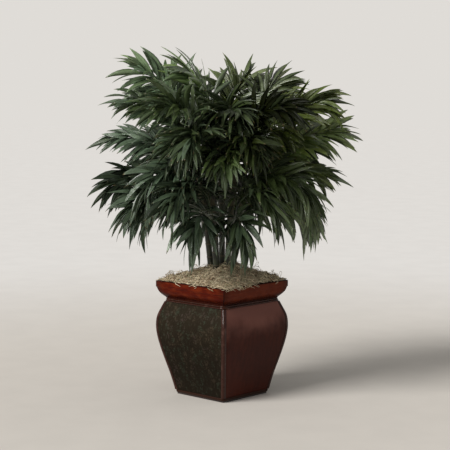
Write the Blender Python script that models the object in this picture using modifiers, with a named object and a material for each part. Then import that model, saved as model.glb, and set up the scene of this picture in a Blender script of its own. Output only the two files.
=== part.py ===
"""Potted bamboo palm: seven canes with feather leaves in a square lacquered planter topped with moss.

Metres, +Z up. The origin is the middle of the planter's underside, and its faces look along X and Y.
The textured panels are on the front (-Y) and the back, the smooth ones on the right (+X) and the left.
"""

import math
import random
from collections import namedtuple

import bmesh
import bpy
from mathutils import Matrix, Vector
from mathutils.bvhtree import BVHTree

# Clearance between neighbouring pieces.
GAP = 0.0003

# The planter's outline: height, and half of the width across its faces.
PLANTER_OUTLINE = (
    (0.000, 0.0768),
    (0.046, 0.0865),
    (0.084, 0.0962),
    (0.113, 0.1033),
    (0.142, 0.1088),
    (0.166, 0.1106),
    (0.188, 0.1084),
    (0.209, 0.1010),
    (0.231, 0.0922),
)
PLINTH_HEIGHT = 0.004
PLINTH_INSET = 0.0018
BASE_TRIM_TOP = 0.0105
NECK_TRIM_BOTTOM = 0.2215
BODY_TOP = 0.2297
FACE_STATIONS = 11
PANEL_DEPTH = 0.004
WALL = 0.006
TRIM_PROUD = 0.0014
NECK_BEADS = 2
NECK_BEAD_PROUD = 0.0030
# One bead of the neck trim, top to bottom: share of its height, and share of how far it stands proud.
NECK_BEAD_OUTLINE = ((1.0, 0.3), (0.72, 0.9), (0.28, 0.9))
NECK_FOOT_PROUD = 0.3

BEAD_REACH = 0.0080
BEAD_PROUD = 0.0010
BEAD_RADIUS = 0.0040
BEAD_ARC_STEPS = 2

RIM_BOTTOM = 0.2300
RIM_COVE_BOTTOM = 0.2315
RIM_COVE_TOP = 0.2545
RIM_BAND_BOTTOM = 0.2570
RIM_TOP = 0.2710
RIM_NECK = 0.0935
RIM_COVE_OUT = 0.1086
RIM_BAND_OUT = 0.1103
RIM_ROUNDING = 0.0012
RIM_SWELL = 0.0030
RIM_COVE_STEPS = 5
RIM_INNER_TOP = 0.0975
RIM_INNER_BOTTOM = 0.0845

MEDIUM_CLEARANCE = 0.0018
MEDIUM_TOP = 0.2225
# The moss plug and mound, bottom to top: height and half width.
MOSS_OUTLINE = (
    (MEDIUM_TOP + GAP, 0.0785),
    (RIM_BOTTOM, 0.0815),
    (RIM_TOP + 0.0006, 0.0945),
    (RIM_TOP + 0.0008, 0.1045),
    (0.2765, 0.1062),
    (0.2850, 0.0975),
    (0.2945, 0.0835),
    (0.3015, 0.0650),
    (0.3060, 0.0430),
    (0.3080, 0.0200),
)
MOSS_SIDES = 24
MOSS_SQUARENESS = 6.0
MOSS_LUMPS = 0.0022
# The mound is lumpy above this height, and its lumps stay below the other.
MOSS_LUMPS_START = RIM_TOP + 0.002
MOSS_CEILING = 0.31
# How far the mound's crown stands off the middle, towards the right and the back.
MOSS_LEAN = (0.010, 0.008)

# The canes: bearing, distance from the middle at the moss and at the tip, height of the tip.
# Bearings are in degrees, counter-clockwise from above, from midway between the right and the back face.
BEARING_START = 43.0
CANES = (
    (90, 0.002, 0.008, 0.650),
    (0, 0.024, 0.066, 0.610),
    (60, 0.024, 0.060, 0.585),
    (120, 0.024, 0.062, 0.600),
    (180, 0.024, 0.068, 0.610),
    (240, 0.024, 0.062, 0.580),
    (300, 0.024, 0.060, 0.570),
)
CANE_RADIUS = 0.0078
CANE_BOTTOM = 0.110
CANE_BEND_START = 0.255
CANE_BEND_POWER = 1.4
CANE_POINTS = 11
WELD = 0.00005

# The leaves: cane, height of the sheath, bearing, rise of the stalk, droop towards the tip, length of the
# stalk beyond its bend, sideways sweep, and roll of the leaf about its stalk. Angles are in degrees.
LEAVES = (
    (0, 0.597, 186, 70, 34, 0.117, 4, -40),
    (0, 0.572, 76, 70, 44, 0.146, -6, 30),
    (0, 0.540, 266, 62, 90, 0.180, 5, 10),
    (0, 0.470, 276, 60, 108, 0.150, -6, 10),
    (0, 0.480, 224, 62, 100, 0.160, 8, -20),
    (1, 0.584, 40, 76, 38, 0.104, -8, 45),
    (1, 0.535, 354, 49, 33, 0.184, 5, 50),
    (1, 0.490, 6, 38, 32, 0.192, -5, 35),
    (1, 0.445, 346, 26, 34, 0.165, 6, 50),
    (1, 0.405, 1, 34, 118, 0.182, -4, 20),
    (2, 0.550, 34, 64, 44, 0.160, 5, 45),
    (2, 0.505, 72, 46, 44, 0.185, -6, -25),
    (2, 0.465, 22, 38, 38, 0.175, 6, 45),
    (2, 0.420, 86, 30, 106, 0.160, -5, -8),
    (2, 0.385, 26, 24, 80, 0.175, 4, 35),
    (3, 0.565, 144, 66, 42, 0.160, -5, -45),
    (3, 0.515, 108, 46, 44, 0.185, 6, 30),
    (3, 0.475, 154, 38, 40, 0.165, -6, -45),
    (3, 0.412, 97, 30, 104, 0.168, 5, 8),
    (3, 0.390, 152, 20, 66, 0.165, -4, -40),
    (4, 0.590, 178, 74, 58, 0.152, 7, -65),
    (4, 0.540, 190, 56, 42, 0.165, -5, -45),
    (4, 0.495, 172, 35, 34, 0.174, 5, -40),
    (4, 0.450, 186, 18, 40, 0.168, -6, -50),
    (4, 0.405, 205, 24, 64, 0.165, 4, -35),
    (5, 0.550, 226, 66, 80, 0.155, -6, -35),
    (5, 0.510, 254, 50, 88, 0.185, 6, 15),
    (5, 0.452, 214, 46, 118, 0.170, -5, -20),
    (5, 0.425, 238, 34, 92, 0.180, 5, 25),
    (5, 0.376, 250, 28, 98, 0.114, -4, -25),
    (6, 0.540, 322, 66, 75, 0.155, 6, 35),
    (6, 0.500, 286, 50, 88, 0.185, -6, -15),
    (6, 0.450, 335, 32, 92, 0.176, 5, 35),
    (6, 0.415, 303, 34, 92, 0.165, -5, -25),
    (6, 0.370, 284, 24, 110, 0.105, 4, 25),
)
SHEATH = 0.022
SHEATH_BEND = 0.034
BEND_STEPS = 3
BARE_STALK = 0.010
STALK_WIDTH = 0.0034
STALK_THICKNESS = 0.0028
STALK_TIP = 0.72
DROOP_POWER = 1.3
LEAFLET_PITCH = 0.0108
LEAFLET_FOOT = 0.0050

# A leaflet's size along the leaf: least share, how much it swells, and where on a half wave it lies.
LEAFLET_LENGTH = 0.112
LEAFLET_LEAST = 0.80
LEAFLET_SWELL = 0.20
LEAFLET_WAVE = (0.15, 0.95)
LEAFLET_WIDTH = 0.0150
LEAFLET_THICKNESS = 0.0010
# Where a leaflet is widest, as a share of its length.
LEAFLET_WAIST = 0.42
LEAFLET_ANGLE_FIRST = 52.0
LEAFLET_ANGLE_LAST = 18.0
LEAFLET_LIFT = 12.0
LEAFLET_DROOP = 45.0
STEEPEST_HANG = 84.0
# How far a leaflet may differ from its neighbours, in degrees, and as a share of its length.
ANGLE_SPREAD = (-5, 5)
LIFT_SPREAD = (-8, 8)
DROOP_SPREAD = (-15, 15)
TWIST_SPREAD = (-22, 22)
SIZE_SPREAD = (-0.06, 0.04)
# How narrow the shortest leaflets would be, as a share of the full width.
LEAST_WIDTH = 0.6
# Where along a leaflet its room starts, as shares of the way to its waist: among others, and on its stalk.
ROOM_START = 0.03
STALK_ROOM_START = 0.3
STALK_ROOM_WIDTH = 0.5
# Room kept round a growing leaflet or stalk, on each side.
LEAFLET_ROOM = 0.0007
STALK_ROOM = 0.0012
LEAFLET_TURNS = (0, 9, -9, 18, -18, 27, -27, 38, -38, 50, -50)
LEAFLET_TILTS = (0, 25, -25)
LEAFLET_CUTS = (1.0, 0.86, 0.7, 0.52)
STALK_TURNS = (0, 4, -4, 8, -8, 12, -12, 17, -17, 23, -23)

SQUARE = math.sqrt(2)

# Cross-section of a growing stem or blade: its middle, its two axes and its size along them.
Ring = namedtuple("Ring", "middle wide thick width thickness")
Obstacle = namedtuple("Obstacle", "low high tree owner kind")

for old in list(bpy.data.objects):
    bpy.data.objects.remove(old)

palm = bpy.data.collections.new("potted_bamboo_palm")
cutters = bpy.data.collections.new("cutters")
cutters.hide_render = True
for collection in (palm, cutters):
    bpy.context.scene.collection.children.link(collection)


def make_material(name, colour, roughness):
    material = bpy.data.materials.new(name)
    material.use_nodes = True
    shader = material.node_tree.nodes["Principled BSDF"]
    shader.inputs["Base Color"].default_value = (*colour, 1.0)
    shader.inputs["Roughness"].default_value = roughness
    shader.inputs["Metallic"].default_value = 0.0
    material.diffuse_color = (*colour, 1.0)
    return material


lacquer = make_material("orange_red_lacquer", (0.105, 0.026, 0.010), 0.25)
dark_trim = make_material("dark_trim", (0.030, 0.010, 0.008), 0.35)
burgundy = make_material("burgundy_panel", (0.034, 0.011, 0.009), 0.40)
mottled = make_material("mottled_panel", (0.024, 0.018, 0.012), 0.50)
inner_wood = make_material("inner_wood", (0.080, 0.050, 0.030), 0.70)
medium_mix = make_material("growing_medium", (0.030, 0.022, 0.016), 0.95)
moss_fibre = make_material("moss", (0.155, 0.120, 0.075), 0.95)
cane_bark = make_material("cane", (0.016, 0.020, 0.008), 0.55)
leaf_green = make_material("leaf", (0.022, 0.040, 0.014), 0.45)


def add_piece(name, mesh, material, collection=palm):
    mesh.materials.append(material)
    piece = bpy.data.objects.new(name, mesh)
    collection.objects.link(piece)
    return piece


def mesh_of(name, bm):
    bmesh.ops.recalc_face_normals(bm, faces=bm.faces)
    mesh = bpy.data.meshes.new(name)
    bm.to_mesh(mesh)
    bm.free()
    return mesh


def half_width(height):
    """Half of the planter's width at a height, on a smooth curve through the outline's points."""
    points = PLANTER_OUTLINE
    last = len(points) - 1
    index = max(i for i in range(last) if points[i][0] <= max(height, 0.0))

    def slope(i):
        before, after = points[max(i - 1, 0)], points[min(i + 1, last)]
        return (after[1] - before[1]) / (after[0] - before[0])

    (z0, w0), (z1, w1) = points[index], points[index + 1]
    span = z1 - z0
    t = (height - z0) / span
    return (
        (2 * t**3 - 3 * t**2 + 1) * w0
        + (t**3 - 2 * t**2 + t) * span * slope(index)
        + (3 * t**2 - 2 * t**3) * w1
        + (t**3 - t**2) * span * slope(index + 1)
    )


def stations(low, high, count=FACE_STATIONS):
    return [low + (high - low) * i / (count - 1) for i in range(count)]


def square_turned(name, outline, closed, material):
    """A shape turned in four steps, and so square, from (half width, height) points down its outer side."""
    bm = bmesh.new()
    corners = [bm.verts.new((half * SQUARE, 0, height)) for half, height in outline]
    for corner, following in zip(corners, corners[1:]):
        bm.edges.new((corner, following))
    if closed:
        bm.edges.new((corners[-1], corners[0]))
    mesh = bpy.data.meshes.new(name)
    bm.to_mesh(mesh)
    bm.free()
    piece = add_piece(name, mesh, material)
    piece.rotation_euler.z = math.radians(45)
    screw = piece.modifiers.new("square_turn", "SCREW")
    screw.steps = 4
    screw.render_steps = 4
    screw.use_smooth_shade = False
    screw.use_merge_vertices = True
    screw.merge_threshold = 0.0001
    return piece


def extruded(bm, face):
    """Extrudes one face and returns the face at the new end."""
    return bmesh.ops.extrude_discrete_faces(bm, faces=[face])["faces"][0]


def fill_start(bm):
    """Closes the open end that the first extrusion leaves."""
    edges = [edge for edge in bm.edges if edge.is_boundary]
    bmesh.ops.holes_fill(bm, edges=edges, sides=0)


def turned_copy(name, bm, turn, material):
    """A piece from a copy of the mesh, turned about the planter's axis by quarter turns."""
    copy = bm.copy()
    bmesh.ops.rotate(copy, verts=copy.verts, matrix=Matrix.Rotation(math.radians(90 * turn), 3, "Z"))
    return add_piece(name, mesh_of(name, copy), material)


# --- Planter --------------------------------------------------------------------------------------


def make_plinth():
    bm = bmesh.new()
    bmesh.ops.create_cube(bm, size=1)
    side = 2 * (half_width(0) - PLINTH_INSET)
    bmesh.ops.scale(bm, verts=bm.verts, vec=(side, side, PLINTH_HEIGHT))
    bmesh.ops.translate(bm, verts=bm.verts, vec=(0, 0, PLINTH_HEIGHT / 2))
    add_piece("base_plinth", mesh_of("base_plinth", bm), dark_trim)


def make_body():
    bottom = PLINTH_HEIGHT + GAP
    heights = [bottom, *face_heights(), BODY_TOP]
    wall = [(half_width(z) - PANEL_DEPTH, z) for z in reversed(heights)]
    body = square_turned("planter_body", wall + [(0, bottom)], False, inner_wood)
    shell = body.modifiers.new("wall", "SOLIDIFY")
    shell.thickness = WALL
    shell.offset = -1
    shell.use_even_offset = True


def make_trims():
    bottom = PLINTH_HEIGHT + GAP
    inner = [(half_width(z) - PANEL_DEPTH + GAP, z) for z in (bottom, BASE_TRIM_TOP)]
    outer = [(half_width(z) + TRIM_PROUD, z) for z in (BASE_TRIM_TOP, bottom)]
    square_turned("base_trim", outer + inner, True, burgundy)

    bead = (BODY_TOP - NECK_TRIM_BOTTOM) / NECK_BEADS
    outer = []
    for number in reversed(range(NECK_BEADS)):
        low = NECK_TRIM_BOTTOM + number * bead
        for share, proud in NECK_BEAD_OUTLINE:
            height = low + share * bead
            outer.append((half_width(height) + proud * NECK_BEAD_PROUD, height))
    outer.append((half_width(NECK_TRIM_BOTTOM) + NECK_FOOT_PROUD * NECK_BEAD_PROUD, NECK_TRIM_BOTTOM))
    inner = [(half_width(z) - PANEL_DEPTH + GAP, z) for z in (NECK_TRIM_BOTTOM, BODY_TOP)]
    square_turned("neck_trim", outer + inner, True, dark_trim)


def face_heights():
    return stations(BASE_TRIM_TOP + GAP, NECK_TRIM_BOTTOM - GAP)


def make_panels():
    """One curved panel, grown upwards from its lower edge, and turned onto the four faces."""

    def ring(height):
        half = half_width(height)
        across = 2 * (half - BEAD_REACH - GAP)
        depth = PANEL_DEPTH - GAP
        middle = Vector((half - depth / 2, 0, height))
        return Ring(middle, Vector((1, 0, 0)), Vector((0, 1, 0)), depth, across)

    bm = bmesh.new()
    grow(bm, [ring(height) for height in face_heights()])
    fill_start(bm)
    for turn, (name, material) in enumerate(
        (
            ("panel_right_smooth", burgundy),
            ("panel_back_textured", mottled),
            ("panel_left_smooth", burgundy),
            ("panel_front_textured", mottled),
        )
    ):
        turned_copy(name, bm, turn, material)
    bm.free()


def make_corner_beads():
    """A rounded angle strip over each corner, grown upwards from its plan section."""
    inner = -PANEL_DEPTH + GAP
    centre = BEAD_PROUD - BEAD_RADIUS
    section = [(inner, -BEAD_REACH), (BEAD_PROUD, -BEAD_REACH)]
    for step in range(BEAD_ARC_STEPS + 1):
        angle = math.radians(90 * step / BEAD_ARC_STEPS)
        section.append((centre + BEAD_RADIUS * math.cos(angle), centre + BEAD_RADIUS * math.sin(angle)))
    section += [(-BEAD_REACH, BEAD_PROUD), (-BEAD_REACH, inner), (inner, inner)]

    heights = face_heights()
    corner = half_width(heights[0])
    bm = bmesh.new()
    face = bm.faces.new([bm.verts.new((corner + x, corner + y, heights[0])) for x, y in section])
    for low, high in zip(heights, heights[1:]):
        face = extruded(bm, face)
        outwards = half_width(high) - half_width(low)
        bmesh.ops.translate(bm, verts=face.verts, vec=(outwards, outwards, high - low))
    fill_start(bm)
    for turn in range(4):
        turned_copy(f"corner_bead_{turn + 1}", bm, turn, dark_trim)
    bm.free()


def make_rim():
    """Four rails with a swelling cove and a flat band, mitred at the corners."""
    outline = [(RIM_INNER_TOP, RIM_TOP), (RIM_INNER_BOTTOM, RIM_BOTTOM), (RIM_NECK, RIM_BOTTOM)]
    for step in range(RIM_COVE_STEPS + 1):
        share = step / RIM_COVE_STEPS
        out = RIM_NECK + (RIM_COVE_OUT - RIM_NECK) * share + RIM_SWELL * math.sin(math.pi * share)
        outline.append((out, RIM_COVE_BOTTOM + (RIM_COVE_TOP - RIM_COVE_BOTTOM) * share))
    outline += [
        (RIM_BAND_OUT, RIM_BAND_BOTTOM),
        (RIM_BAND_OUT, RIM_TOP - RIM_ROUNDING),
        (RIM_BAND_OUT - RIM_ROUNDING, RIM_TOP),
    ]
    mitre_gap = GAP / SQUARE
    bm = bmesh.new()
    start = bm.faces.new([bm.verts.new((out, 0, height)) for out, height in outline])
    end = extruded(bm, start)
    for corner in bm.verts:
        side = 1 if corner in end.verts else -1
        corner.co.y = side * (corner.co.x - mitre_gap)
    fill_start(bm)
    for turn, side in enumerate(("right", "back", "left", "front")):
        turned_copy(f"rim_rail_{side}", bm, turn, lacquer)
    bm.free()


def make_medium():
    inset = PANEL_DEPTH + WALL + MEDIUM_CLEARANCE
    bottom = PLINTH_HEIGHT + GAP + WALL + GAP
    wall = [(half_width(z) - inset, z) for z in reversed(stations(bottom, MEDIUM_TOP))]
    return square_turned("growing_medium", [(0, MEDIUM_TOP)] + wall + [(0, bottom)], False, medium_mix)


def make_moss():
    """A lumpy mound, square in plan, grown from the plug in the planter's mouth up to its crown."""
    lumps = random.Random("moss")
    bm = bmesh.new()
    bmesh.ops.create_circle(bm, cap_ends=True, segments=MOSS_SIDES, radius=1)
    face = bm.faces[:][0]
    for level, (height, half) in enumerate(MOSS_OUTLINE):
        if level:
            face = extruded(bm, face)
        lump = MOSS_LUMPS if height > MOSS_LUMPS_START else 0
        for corner in face.verts:
            bearing = math.atan2(corner.co.y, corner.co.x)
            cosine, sine = abs(math.cos(bearing)), abs(math.sin(bearing))
            square = (cosine**MOSS_SQUARENESS + sine**MOSS_SQUARENESS) ** (-1 / MOSS_SQUARENESS)
            reach = half * square + lump * lumps.uniform(-1, 1)
            rise = height + lump * lumps.uniform(-0.5, 0.5)
            corner.co = (reach * math.cos(bearing), reach * math.sin(bearing), rise)
            if lump:
                lean = (height - RIM_TOP) / (MOSS_OUTLINE[-1][0] - RIM_TOP)
                corner.co += Vector((*MOSS_LEAN, 0)) * lean
    fill_start(bm)
    bmesh.ops.recalc_face_normals(bm, faces=bm.faces)
    tree = BVHTree.FromBMesh(bm)
    return add_piece("moss_topping", mesh_of("moss_topping", bm), moss_fibre), tree


# --- Growing by extrusion -------------------------------------------------------------------------


def corner_of(ring, along_wide, along_thick):
    return (
        ring.middle
        + ring.wide * (along_wide * ring.width / 2)
        + ring.thick * (along_thick * ring.thickness / 2)
    )


def move_face(face, old, new):
    """Moves the four corners of a face from one ring to the matching corners of another."""
    for corner in face.verts:
        offset = corner.co - old.middle
        along_wide = math.copysign(1, offset.dot(old.wide))
        along_thick = math.copysign(1, offset.dot(old.thick))
        corner.co = corner_of(new, along_wide, along_thick)


def grow(bm, rings):
    """Grows a stem through the rings, from the first. Returns the end face and each step's sides."""
    bmesh.ops.create_grid(bm, x_segments=1, y_segments=1, size=0.5)
    face = bm.faces[:][0]
    unit = Ring(Vector(), Vector((1, 0, 0)), Vector((0, 1, 0)), 1, 1)
    move_face(face, unit, rings[0])
    sides = []
    for old, new in zip(rings, rings[1:]):
        face = extruded(bm, face)
        move_face(face, old, new)
        sides.append([other for edge in face.edges for other in edge.link_faces if other != face])
    return face, sides


def solid_tree(rings, tip=None):
    """The surface through the rings, and on to a tip, as a search tree with its box."""
    points = []
    polygons = []
    order = ((-1, -1), (1, -1), (1, 1), (-1, 1))
    for ring in rings:
        points += [corner_of(ring, wide, thick) for wide, thick in order]
    for start in range(0, 4 * (len(rings) - 1), 4):
        for side in range(4):
            following = (side + 1) % 4
            polygons.append((start + side, start + following, start + 4 + following, start + 4 + side))
    if tip is not None:
        start = len(points) - 4
        points.append(tip)
        for side in range(4):
            polygons.append((start + side, start + (side + 1) % 4, len(points) - 1))
    low = Vector([min(point[axis] for point in points) for axis in range(3)])
    high = Vector([max(point[axis] for point in points) for axis in range(3)])
    return low, high, BVHTree.FromPolygons(points, polygons)


def fattened(ring, room):
    return ring._replace(width=ring.width + 2 * room, thickness=ring.thickness + 2 * room)


def meets(shape, obstacles):
    """Whether a shape from solid_tree meets any of the obstacles."""
    low, high, tree = shape
    for other in obstacles:
        if any(low[axis] > other.high[axis] or high[axis] < other.low[axis] for axis in range(3)):
            continue
        if tree.overlap(other.tree):
            return True
    return False


# --- Canes ----------------------------------------------------------------------------------------


def cane_axis(cane, height):
    """A point on a cane's centre line: upright in the pot, then leaning outwards."""
    bearing, foot, head, top = CANES[cane]
    angle = math.radians(BEARING_START + bearing)
    share = max(0.0, (height - CANE_BEND_START) / (top - CANE_BEND_START))
    reach = foot + (head - foot) * share**CANE_BEND_POWER
    return Vector((reach * math.cos(angle), reach * math.sin(angle), height))


def cane_curve(name, cane, radius):
    curve = bpy.data.curves.new(name, "CURVE")
    curve.dimensions = "3D"
    curve.bevel_depth = radius
    curve.bevel_resolution = 2
    curve.use_fill_caps = True
    spline = curve.splines.new("POLY")
    spline.points.add(CANE_POINTS - 1)
    for point, height in zip(spline.points, stations(CANE_BOTTOM, CANES[cane][3], CANE_POINTS)):
        point.co = (*cane_axis(cane, height), 1)
    return curve


def make_canes(bored):
    """The canes, and the holes for them in the pieces that they stand in."""
    for cane in range(len(CANES)):
        name = f"cane_{cane + 1}"
        add_piece(name, cane_curve(name, cane, CANE_RADIUS), cane_bark)
        curve = cane_curve(f"hole_{name}", cane, CANE_RADIUS + GAP)
        cutter = add_piece(f"hole_{name}", curve, cane_bark, cutters)
        bpy.context.view_layer.update()
        graph = bpy.context.evaluated_depsgraph_get()
        mesh = bpy.data.meshes.new_from_object(cutter.evaluated_get(graph))
        bpy.data.objects.remove(cutter)
        bm = bmesh.new()
        bm.from_mesh(mesh)
        bmesh.ops.remove_doubles(bm, verts=bm.verts, dist=WELD)
        bmesh.ops.translate(bm, verts=bm.verts, vec=(0, 0, -GAP))
        bm.to_mesh(mesh)
        bm.free()
        hole = bpy.data.objects.new(f"hole_{name}", mesh)
        cutters.objects.link(hole)
        hole.hide_render = True
        hole.display_type = "WIRE"
        for piece in bored:
            cut = piece.modifiers.new(hole.name, "BOOLEAN")
            cut.operation = "DIFFERENCE"
            cut.solver = "EXACT"
            cut.object = hole


# --- Leaves ---------------------------------------------------------------------------------------


def direction(bearing, rise):
    angle, slope = math.radians(BEARING_START + bearing), math.radians(rise)
    return Vector((math.cos(angle) * math.cos(slope), math.sin(angle) * math.cos(slope), math.sin(slope)))


def stalk_ring(middle, heading, rise, roll, share):
    """A ring of a stalk that heads along a bearing and rise, rolled about it. It thins towards the tip."""
    along = direction(heading, rise)
    thick = Matrix.Rotation(math.radians(roll), 3, along) @ direction(heading, rise + 90)
    size = 1 - (1 - STALK_TIP) * share
    return Ring(middle, thick.cross(along), thick, STALK_WIDTH * size, STALK_THICKNESS * size)


def stalk_rings(leaf, turn):
    """The rings of a leaf's stalk: sheath, bend, bare stretch, then two for each leaflet pair."""
    cane, height, bearing, rise, droop, length, sweep, roll = leaf
    bearing += turn
    outwards = direction(bearing, 0)
    foot = cane_axis(cane, height)
    cane_along = (cane_axis(cane, height + SHEATH) - foot).normalized()
    start_rise = 90 - math.degrees(math.asin(cane_along.dot(outwards)))
    middle = foot + outwards * (CANE_RADIUS + GAP + STALK_THICKNESS / 2)
    rings = [stalk_ring(middle, bearing, start_rise, 0, 0)]
    middle = middle + cane_along * SHEATH
    rings.append(stalk_ring(middle, bearing, start_rise, 0, 0))
    before = start_rise
    for step in range(BEND_STEPS):
        share = (step + 1) / BEND_STEPS
        now = start_rise + (rise - start_rise) * share
        middle = middle + direction(bearing, (before + now) / 2) * (SHEATH_BEND / BEND_STEPS)
        rings.append(stalk_ring(middle, bearing, now, roll * share, 0))
        before = now

    pairs = int((length - BARE_STALK) / LEAFLET_PITCH)
    marks = []
    for pair in range(pairs):
        at = BARE_STALK + (length - BARE_STALK) * pair / pairs
        marks += [at, at + LEAFLET_FOOT]
    marks.append(length - LEAFLET_FOOT)
    done = 0.0
    for mark in marks:
        half, share = (done + mark) / 2 / length, mark / length
        slope = rise - droop * half**DROOP_POWER
        middle = middle + direction(bearing + sweep * half, slope) * (mark - done)
        slope = rise - droop * share**DROOP_POWER
        rings.append(stalk_ring(middle, bearing + sweep * share, slope, roll, share))
        done = mark
    return rings, pairs


def leaflet_shape(foot, along, lift, droop, twist, length, width):
    """The widest ring and the tip of a leaflet that starts on the ring foot along a direction.

    It is lifted out of the leaf's plane, hangs more the further it goes out, and twists about itself.
    """
    heading = Matrix.Rotation(math.radians(lift), 3, along.cross(foot.thick)) @ along
    hang_axis = heading.cross(Vector((0, 0, 1))).normalized()
    middle = foot.middle
    headings = []
    for share in (LEAFLET_WAIST / 2, (1 + LEAFLET_WAIST) / 2):
        room = math.degrees(math.asin(max(-1, min(1, heading.z)))) + STEEPEST_HANG
        fall = math.radians(max(0, min(droop * share, room)))
        headings.append(Matrix.Rotation(-fall, 3, hang_axis) @ heading)
    waist = middle + headings[0] * (length * LEAFLET_WAIST)
    tip = waist + headings[1] * (length * (1 - LEAFLET_WAIST))
    through = (headings[0] + headings[1]).normalized()
    wide = (foot.wide - through * foot.wide.dot(through)).normalized()
    wide = Matrix.Rotation(math.radians(twist), 3, through) @ wide
    thick = through.cross(wide)
    if thick.dot(foot.thick) < 0:
        thick = -thick
    return Ring(waist, wide, thick, width, LEAFLET_THICKNESS), tip


def grow_leaves(moss_tree):
    """Settles the stalks and then the leaflets, each turned or shortened until it clears the others."""
    obstacles = []
    for cane in range(len(CANES)):
        rings = []
        for height in stations(CANE_BOTTOM, CANES[cane][3], CANE_POINTS):
            middle = cane_axis(cane, height)
            across, deep = Vector((1, 0, 0)), Vector((0, 1, 0))
            rings.append(Ring(middle, across, deep, 2 * CANE_RADIUS, 2 * CANE_RADIUS))
        obstacles.append(Obstacle(*solid_tree(rings), None, "cane"))
    low = Vector((-RIM_BAND_OUT, -RIM_BAND_OUT, 0))
    high = Vector((RIM_BAND_OUT, RIM_BAND_OUT, MOSS_CEILING))
    obstacles.append(Obstacle(low, high, moss_tree, None, "moss"))

    stalks = []
    for number, leaf in enumerate(LEAVES):
        for turn in STALK_TURNS:
            rings, pairs = stalk_rings(leaf, turn)
            free = solid_tree([fattened(ring, STALK_ROOM) for ring in rings[3:]])
            sheath = solid_tree([fattened(ring, GAP) for ring in rings[:4]])
            others = [other for other in obstacles if other.kind != "cane"]
            if not meets(free, obstacles) and not meets(sheath, others):
                break
        else:
            raise ValueError(f"leaf {number + 1}: no clear way for the stalk")
        stalks.append((rings, pairs))
        obstacles.append(Obstacle(*solid_tree(rings), number, "stalk"))

    leaves = []
    for number, (rings, pairs) in enumerate(stalks):
        dice = random.Random(f"leaf {number}")
        first = len(rings) - 2 * pairs - 1
        own_stalk = [other for other in obstacles if other.owner == number]
        rest = [other for other in obstacles if other.owner != number]
        leaflets = []
        for place in range(2 * pairs + 1):
            pair, side = place // 2, 1 - 2 * (place % 2)
            share = (pair + 0.5) / (pairs + 0.5)
            angle = LEAFLET_ANGLE_FIRST + (LEAFLET_ANGLE_LAST - LEAFLET_ANGLE_FIRST) * share
            angle = math.radians(angle + dice.uniform(*ANGLE_SPREAD))
            wave = LEAFLET_WAVE[0] + (LEAFLET_WAVE[1] - LEAFLET_WAVE[0]) * share
            size = LEAFLET_LEAST + LEAFLET_SWELL * math.sin(math.pi * wave) + dice.uniform(*SIZE_SPREAD)
            lift = LEAFLET_LIFT + dice.uniform(*LIFT_SPREAD)
            droop = LEAFLET_DROOP + dice.uniform(*DROOP_SPREAD)
            twist = dice.uniform(*TWIST_SPREAD)
            if place == 2 * pairs:
                foot = rings[-1]
                along = foot.wide.cross(foot.thick)
                lift = 0
            else:
                near, far = rings[first + 2 * pair], rings[first + 2 * pair + 1]
                forward = (far.middle - near.middle).normalized()
                outwards = near.wide * side
                middle = (near.middle + far.middle) / 2 + outwards * (near.width + far.width) / 4
                thick = (near.thick + far.thick).normalized()
                foot = Ring(middle, forward, thick, LEAFLET_FOOT, near.thickness)
                along = forward * math.cos(angle) + outwards * math.sin(angle)
            settled = settle_leaflet(foot, along, lift, droop, twist, size, rest, own_stalk)
            if settled:
                waist, tip = settled
                leaflets.append((foot, waist, tip, place))
                start = foot._replace(thickness=LEAFLET_THICKNESS)
                rest.append(Obstacle(*solid_tree([start, waist], tip), number, "leaflet"))
        obstacles += rest[len(obstacles) - len(own_stalk):]
        leaves.append((rings, pairs, leaflets))
    return leaves


def settle_leaflet(foot, along, lift, droop, twist, size, rest, own_stalk):
    """The first place for a leaflet, out of many turns and lengths, where it clears all else, if any."""
    for cut in LEAFLET_CUTS:
        for turn in LEAFLET_TURNS:
            for tilt in LEAFLET_TILTS:
                waist, tip = leaflet_shape(
                    foot,
                    along,
                    lift + turn,
                    droop,
                    twist + tilt,
                    LEAFLET_LENGTH * size * cut,
                    LEAFLET_WIDTH * (LEAST_WIDTH + (1 - LEAST_WIDTH) * size * cut),
                )
                fat = fattened(waist, LEAFLET_ROOM)
                beyond = tip + (tip - waist.middle).normalized() * LEAFLET_ROOM
                outwards = waist.middle - foot.middle
                start = foot._replace(middle=foot.middle + outwards * ROOM_START, thickness=fat.thickness)
                away = foot.middle + outwards * STALK_ROOM_START
                clear = fat._replace(middle=away, width=fat.width * STALK_ROOM_WIDTH)
                if meets(solid_tree([start, fat], beyond), rest):
                    continue
                if meets(solid_tree([clear, fat], beyond), own_stalk):
                    continue
                return waist, tip
    return None


def make_leaves(moss_tree):
    for number, (rings, pairs, leaflets) in enumerate(grow_leaves(moss_tree)):
        bm = bmesh.new()
        end, sides = grow(bm, rings)
        fill_start(bm)
        first = len(rings) - 2 * pairs - 1
        for foot, waist, tip, place in leaflets:
            face = end
            if place < 2 * pairs:
                step = [side for side in sides[first + 2 * (place // 2)] if side.is_valid]
                face = min(step, key=lambda side: (side.calc_center_median() - foot.middle).length)
            face = extruded(bm, face)
            move_face(face, foot, waist)
            face = extruded(bm, face)
            bmesh.ops.pointmerge(bm, verts=face.verts, merge_co=tip)
        name = f"leaf_{number + 1:02d}"
        add_piece(name, mesh_of(name, bm), leaf_green)


make_plinth()
make_body()
make_trims()
make_panels()
make_corner_beads()
make_rim()
medium = make_medium()
moss, moss_search = make_moss()
make_canes([medium, moss])
make_leaves(moss_search)
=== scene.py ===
"""The finished look of the potted bamboo palm, laid over its plain solids.

Metres, +Z up. The origin is the middle of the planter's underside. The mottled panels face -Y and +Y, and
the smooth ones +X and -X. Everything is one body, so every piece rides on "root".
"""

import math
import random
from collections import namedtuple

import bmesh
import bpy
from mathutils import Matrix, Vector, noise
from mathutils.bvhtree import BVHTree


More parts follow.
